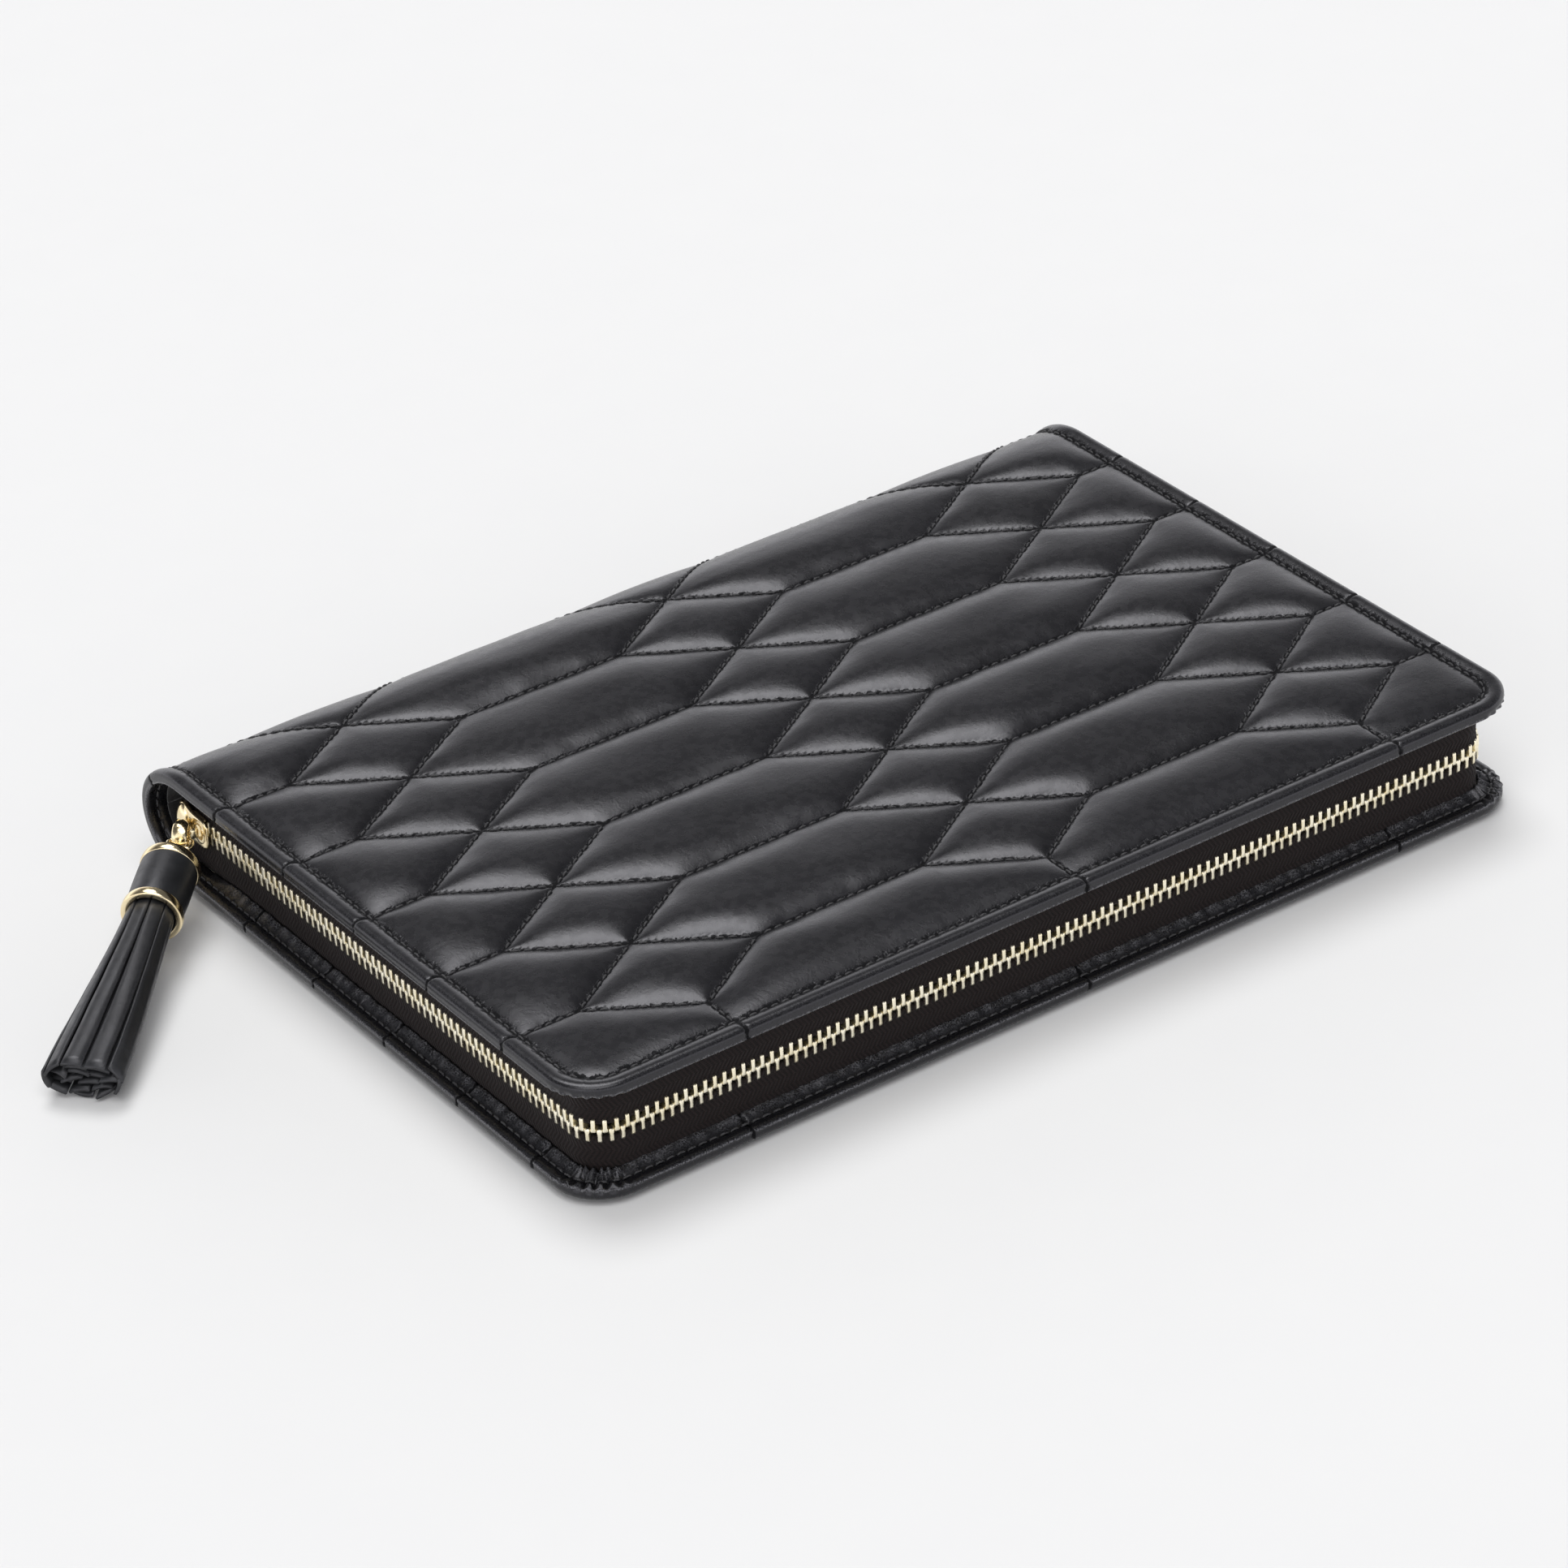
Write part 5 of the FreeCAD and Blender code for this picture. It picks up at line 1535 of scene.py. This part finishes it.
def build_pocket_panels():
    """The flat zipped pocket: two edged panels and the tape that shows between them."""
    stitches = Builder()
    for side, crown, seed in PANELS:
        node = f"pocket_{side}_panel"
        low, high = box_mm(node)
        dents = stitched_dents(PANEL_INSET, 0.4, 0.22, 0.14, 11, (1.6, 6), seed)
        points, faces = rounded_block(low + (0, 0, 0.6), high, 0.55, 1.6, 1.7, crown, dents)
        settle(add_mesh(f"{node}_suede", points, faces, SUEDE), "base", [node])
        stitch_rectangle(stitches, low, high, PANEL_INSET, high[2] - 0.2 - crown, UP)
    settle(stitches.mesh("pocket_stitching", PAD_THREAD), "base")

    low, high = box_mm("pocket_zip_tape")
    low, high = low - (0, 2.0, 0), high + (0, 2.0, -0.15)
    x, y = np.meshgrid(np.linspace(low[0], high[0], 160), np.linspace(low[1], high[1], 14))
    z = high[2] - 0.05 + 0.05 * noise_line(x / 6, SEED + 113)
    points, faces = thick_sheet(xyz(x, y, z), UP, high[2] - low[2] - 0.1)
    tape = add_mesh("pocket_tape_woven", points, faces, TAPE, {"weave_mm": points})
    settle(tape, "base", ["pocket_zip_tape"])


COIL_PITCH = 1.3
COIL_STEPS = 10
COIL_WIRE = 0.27
ARCH_H = 2.3
ARCH_HALF = 2.05
SLIDER_PLATE_T = 0.9


def pocket_coils():
    """Two nylon coils that mesh along the pocket's slit."""
    low, high = box_mm("pocket_zip_coil")
    centre_y, centre_z = (low[1] + high[1]) / 2, (low[2] + high[2]) / 2
    turns = int((high[0] - low[0]) / COIL_PITCH) - 2
    t = np.arange(turns * COIL_STEPS) / COIL_STEPS
    coils = Builder()
    for side in (-1, 1):
        start = low[0] + COIL_PITCH * (0.75 + side / 4)
        y = centre_y + side * 0.42 + 0.55 * np.cos(2 * math.pi * t)
        z = centre_z + 0.32 * np.sin(2 * math.pi * t)
        tube_along(coils, xyz(start + t * COIL_PITCH, y, z), (1, 0, 0), COIL_WIRE, COIL_WIRE, 6)
    settle(coils.mesh("pocket_coil_nylon", COIL_NYLON), "base", ["pocket_zip_coil"])


def pocket_slider():
    """A small plate on two side walls, with a bridge for the pull."""
    low, high = box_mm("pocket_slider")
    middle = (low + high) / 2
    plate_low = high[2] - ARCH_H - SLIDER_PLATE_T
    slider = Builder()
    plate_start, plate_end = np.array([*low[:2], plate_low]), high - (0, 0, ARCH_H)
    slider.add(*rounded_block(plate_start, plate_end, 0.35, 1.3, 0.8, foot=0.12))
    for y0, y1 in ((low[1], low[1] + 0.9), (high[1] - 0.9, high[1])):
        start, end = np.array([low[0] + 0.5, y0, low[2]]), np.array([high[0] - 0.5, y1, plate_low + 0.2])
        slider.add(*rounded_block(start, end, 0.2, 0.3, 0.8, foot=0.1))
    t = np.linspace(0, math.pi, 20)
    bridge_x = middle[0] - ARCH_HALF * rounded_wave(np.cos(t), 0.5)
    bridge_z = high[2] - ARCH_H - 0.3 + (ARCH_H - 0.15) * np.sin(t) ** 0.5
    tube_along(slider, xyz(bridge_x, middle[1], bridge_z), (0, 1, 0), 0.42, 0.72, 10)
    settle(slider.mesh("pocket_slider_gold", GOLD), "pocket_slider", ["pocket_slider"])


def pocket_pull():
    """A cross bar, two arms and a tab with a pressed middle."""
    low, high = box_mm("pocket_pull")
    pivot_x, mid_y, mid_z = high[0] - 0.45, (low[1] + high[1]) / 2, (low[2] + high[2]) / 2
    half_y, tab_start = (high[1] - low[1]) / 2, pivot_x - 4.0
    pull = Builder()
    bar_y = np.linspace(mid_y - half_y + 0.3, mid_y + half_y - 0.3, 9)
    tube_along(pull, xyz(pivot_x, bar_y, mid_z), (1, 0, 0), 0.43, 0.43, 10)
    t = np.linspace(0, 1, 12)
    for side in (-1, 1):
        arm_y = mid_y + side * (half_y - 0.45 - 0.5 * t**2)
        tube_along(pull, xyz(pivot_x - t * 5.2, arm_y, mid_z), (0, 1, 0), 0.4, 0.45, 10)
    tab_low = np.array([low[0], mid_y - half_y + 0.15, mid_z - 0.42])
    tab_high = np.array([tab_start, mid_y + half_y - 0.15, mid_z + 0.42])

    def press(x, y, inset):
        return -0.14 * smoothstep(inset, 1.0, 1.5)

    pull.add(*rounded_block(tab_low, tab_high, 0.3, 1.9, 0.5, dents=press, foot=0.12))
    settle(pull.mesh("pocket_pull_gold", GOLD), "pocket_pull", ["pocket_pull"])


PAD_INSET = 2


def build_necklace_pad():
    low, high = box_mm("necklace_pad")
    dents = stitched_dents(PAD_INSET, 0.45, 0.2, 0.12, 12, (2.2, 8), 121)
    block_low, block_high = np.array([*low[:2], HEIGHT - high[2]]), np.array([*high[:2], HEIGHT - low[2]])
    points, faces = rounded_block(block_low, block_high, 0.7, 3.0, 2.2, 0.35, dents)
    pad = add_mesh("necklace_pad_suede", *on_side(points, faces, True), PAD_SUEDE)
    settle(pad, "lid", ["necklace_pad"])
    stitches = Builder()
    stitch_rectangle(stitches, low, high, PAD_INSET, low[2] + 0.42, -UP)
    settle(stitches.mesh("necklace_pad_stitching", PAD_THREAD), "lid")


HOOKS = 6
HOOK_PITCH = 38.0
HOOK_WIRE = 0.72
HOOK_BEND = 1.8
HOOK_POST = 2.2
# Width, length and thickness.
HOOK_PLATE = (6, 8, 0.6)
SCREW = (1.5, 1.5, 0.4)


def build_necklace_hooks():
    """Each hook is a small plate with two screw heads and a bent wire."""
    low, high = box_mm("necklace_hooks")
    plate_y, base_z = high[1] - 4.0, HEIGHT - high[2]
    plate_t = HOOK_PLATE[2]
    top = high[2] - plate_t + 0.1
    bend_z = top - 0.1 - HOOK_POST
    wire = [(plate_y, top - k * (HOOK_POST + 0.1) / 4) for k in range(4)]
    for a in np.linspace(0, math.pi, 16):
        wire.append((plate_y - HOOK_BEND + HOOK_BEND * math.cos(a), bend_z - HOOK_BEND * math.sin(a)))
    wire += [(plate_y - 2 * HOOK_BEND - 0.05, bend_z + 0.5), (plate_y - 2 * HOOK_BEND - 0.2, bend_z + 1.0)]
    last = len(wire) - 1
    thick = np.interp(np.arange(len(wire)), [0, 1, last - 2, last], [1.1, HOOK_WIRE, HOOK_WIRE, 0.85])
    hooks = Builder()
    for n in range(HOOKS):
        x = (low[0] + high[0]) / 2 + (n - (HOOKS - 1) / 2) * HOOK_PITCH
        plate_low = np.array([x - 3, plate_y - 4, base_z])
        hooks.add(*on_side(*rounded_block(plate_low, plate_low + HOOK_PLATE, 0.25, 2.2, 0.8), True))
        for side in (-1, 1):
            head = np.array([x - 0.75, plate_y + side * 2.6 - 0.75, base_z + plate_t - 0.05])
            hooks.add(*on_side(*rounded_block(head, head + SCREW, 0.33, 0.74, 0.3), True))
        tube_along(hooks, [(x, y, z) for y, z in wire], (1, 0, 0), thick, thick)
    settle(hooks.mesh("necklace_hooks_gold", GOLD), "lid", ["necklace_hooks"])


POCKET_FULL = 5.5
POCKET_T = 0.6
GATHER_RATE = 1.25
# The elastic's section: distance in from the mouth, and depth below the pocket's edge.
BAND_SECTION = (
    (6.0, 0.15), (5.5, 0.5), (0.3, 0.55), (-0.4, 0.2), (-0.5, -0.3), (-0.4, -0.8), (0.3, -1.1),
    (5.5, -1.05), (6.0, -0.75),
)


def build_elastic_pocket():
    """The gathered pocket in the lid, and the ribbed elastic at its mouth."""
    low, high = box_mm("elastic_pocket")
    half_x, mouth_y, rear_y, top_z = high[0], low[1], high[1], high[2]

    def depth(x, y):
        side = smoothstep(half_x - np.abs(x), 0, 7) ** 0.6
        back = smoothstep(rear_y - y, 0, 14) ** 0.8
        near_mouth = np.exp(-(y - mouth_y) / 15)
        gathers = np.sin(x * GATHER_RATE + 1.6 * noise_line(x / 9, SEED + 131)) * (0.45 * near_mouth + 0.06)
        folds = 0.3 * noise_plane(x / 4.5, y / 16, SEED + 132, 3) * (0.4 + near_mouth)
        return (POCKET_FULL + gathers + folds) * side * back

    x, y = np.meshgrid(np.linspace(-half_x, half_x, 400), np.linspace(mouth_y, rear_y, 34))
    place = xyz(x, y, top_z - depth(x, y))
    points, faces = thick_sheet(place, -UP, POCKET_T)
    pocket = add_mesh("elastic_pocket_gathered", points, flipped(faces), SUEDE)
    settle(pocket, "lid", ["elastic_pocket"])

    band_x = np.linspace(-half_x + 0.6, half_x - 0.6, 420)
    level = top_z - depth(band_x, np.full(len(band_x), mouth_y + 3))
    points = [(x, mouth_y + sy, z - sz) for x, z in zip(band_x, level) for sy, sz in BAND_SECTION]
    weave = [(x * 1.4, sy * 0.3, sz) for x in band_x for sy, sz in BAND_SECTION]
    faces = flipped(ring_faces(len(band_x), len(BAND_SECTION)))
    band = add_mesh("elastic_band_ribbed", points, faces, TAPE, {"weave_mm": weave})
    settle(band, "lid", ["elastic_band"])


STOP_HALF, STOP_BELOW, STOP_ABOVE = 0.98, 0.6, 1.3


def build_stops():
    """Small metal stops at both ends of each row of teeth."""
    middle_x, tape_top = TAPE_HALF_X - TAPE_T / 2, float(TAPE_HIGH[2])
    for half, body, upper in HALVES:
        low, high = box_mm(f"{half}_stops")
        builder = Builder()
        for side in (-1, 1):
            start = np.array([side * middle_x - STOP_HALF, low[1], tape_top - STOP_BELOW])
            end = np.array([side * middle_x + STOP_HALF, high[1], tape_top + STOP_ABOVE])
            builder.add(*on_side(*rounded_block(start, end, 0.3, 0.4, 0.4, foot=0.1), upper))
        settle(builder.mesh(f"{half}_stops_gold", TOOTH_GOLD), body, [f"{half}_stops"])


build_linings()
build_gussets()
build_spine_lining()
build_tray()
build_ring_rolls()
build_earring_pad()
build_pocket_panels()
pocket_coils()
pocket_slider()
pocket_pull()
build_necklace_pad()
build_necklace_hooks()
build_elastic_pocket()
build_stops()


# ---------------------------------------------------------------- the hidden boards

for board in ("base_board", "lid_board"):
    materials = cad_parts[board].data.materials
    for index in range(len(materials)):
        materials[index] = board_material()


# ---------------------------------------------------------------- camera, floor and light

AZIMUTH, ELEVATION, ROLL = math.radians(-33.416), math.radians(31.373), math.radians(-3.378)
DISTANCE, AIM_X, AIM_Y = 1.43352, -0.013514, 0.012558
LENS = 135.6
FLOOR_R = 6
FLOOR_SIDES = 48
FLOOR_Z = -0.0002
PAPER = ((0.79, 0.79, 0.79), (0.805, 0.805, 0.802))
PAPER_ROUGHNESS = 0.9
# The room's brightness from straight below, at 0, to straight above.
SKY = ((0.0, 1.5), (0.2, 1.4), (0.42, 0.48), (0.56, 0.12), (1.0, 0.09))
# Each lamp: the way towards it, its apparent width in degrees, and its strength.
LAMPS = (
    ("overhead", (0.13, 0.375, 0.918), 32, 1.4),
    ("front", (-0.19, -0.29, 0.94), 50, 1.38),
    ("front_left", (-0.75, -0.45, 0.5), 40, 0.35),
)


def put_in_scene(name, data):
    made = bpy.data.objects.new(name, data)
    bpy.context.scene.collection.objects.link(made)
    return made


def place_camera():
    """A long lens, from the front left and above."""
    level = math.cos(ELEVATION)
    back = np.array([math.sin(AZIMUTH) * level, -math.cos(AZIMUTH) * level, math.sin(ELEVATION)])
    right = unit(np.cross(-back, UP))
    up = np.cross(right, -back)
    across = math.cos(ROLL) * right + math.sin(ROLL) * up
    upward = -math.sin(ROLL) * right + math.cos(ROLL) * up
    spot = back * DISTANCE + across * AIM_X + upward * AIM_Y
    camera = put_in_scene("camera", bpy.data.cameras.new("camera"))
    camera.data.sensor_width = 36
    camera.data.lens = LENS
    camera.data.clip_start, camera.data.clip_end = 0.01, 50
    turn = Matrix([across, upward, back]).transposed().to_4x4()
    camera.matrix_world = Matrix.Translation(Vector(spot)) @ turn
    bpy.context.scene.camera = camera


def lay_floor():
    n = Nodes("floor_paper")
    paper = n.noise(n.node("ShaderNodeTexCoord").outputs["Object"], 40.0, 2.0)
    n.link(n.mix(paper, *PAPER), n.shader.inputs["Base Color"])
    n.fill(n.shader, Roughness=PAPER_ROUGHNESS)
    turns = np.linspace(0, 2 * math.pi, FLOOR_SIDES, endpoint=False)
    ring = [(FLOOR_R * math.cos(a), FLOOR_R * math.sin(a), FLOOR_Z) for a in turns]
    floor = bpy.data.meshes.new("floor")
    floor.from_pydata(ring, [], [list(range(FLOOR_SIDES))])
    floor.materials.append(n.material)
    put_in_scene("floor", floor)


def light_room():
    """Even light from all round that is brighter below, and three soft suns."""
    world = bpy.data.worlds.new("studio")
    bpy.context.scene.world = world
    world.use_nodes = True
    tree = world.node_tree
    direction = tree.nodes.new("ShaderNodeTexCoord")
    split = tree.nodes.new("ShaderNodeSeparateXYZ")
    tree.links.new(direction.outputs["Generated"], split.inputs[0])
    ramp = tree.nodes.new("ShaderNodeValToRGB")
    ramp.color_ramp.interpolation = "EASE"
    elements = ramp.color_ramp.elements
    for index, (where, bright) in enumerate(SKY):
        element = elements[index] if index < 2 else elements.new(where)
        element.position = where
        element.color = (bright * 0.97, bright * 0.965, bright, 1)
    tree.links.new(split.outputs["Z"], ramp.inputs["Fac"])
    tree.links.new(ramp.outputs["Color"], tree.nodes["Background"].inputs["Color"])
    tree.nodes["Background"].inputs["Strength"].default_value = 1.0
    for name, towards, angle, strength in LAMPS:
        light = bpy.data.lights.new(name, "SUN")
        light.angle, light.energy = math.radians(angle), strength
        lamp = put_in_scene(name, light)
        lamp.rotation_mode = "QUATERNION"
        lamp.rotation_quaternion = (-Vector(towards)).to_track_quat("-Z", "Y")
    bpy.context.scene.view_settings.view_transform = "Standard"


place_camera()
lay_floor()
light_room()
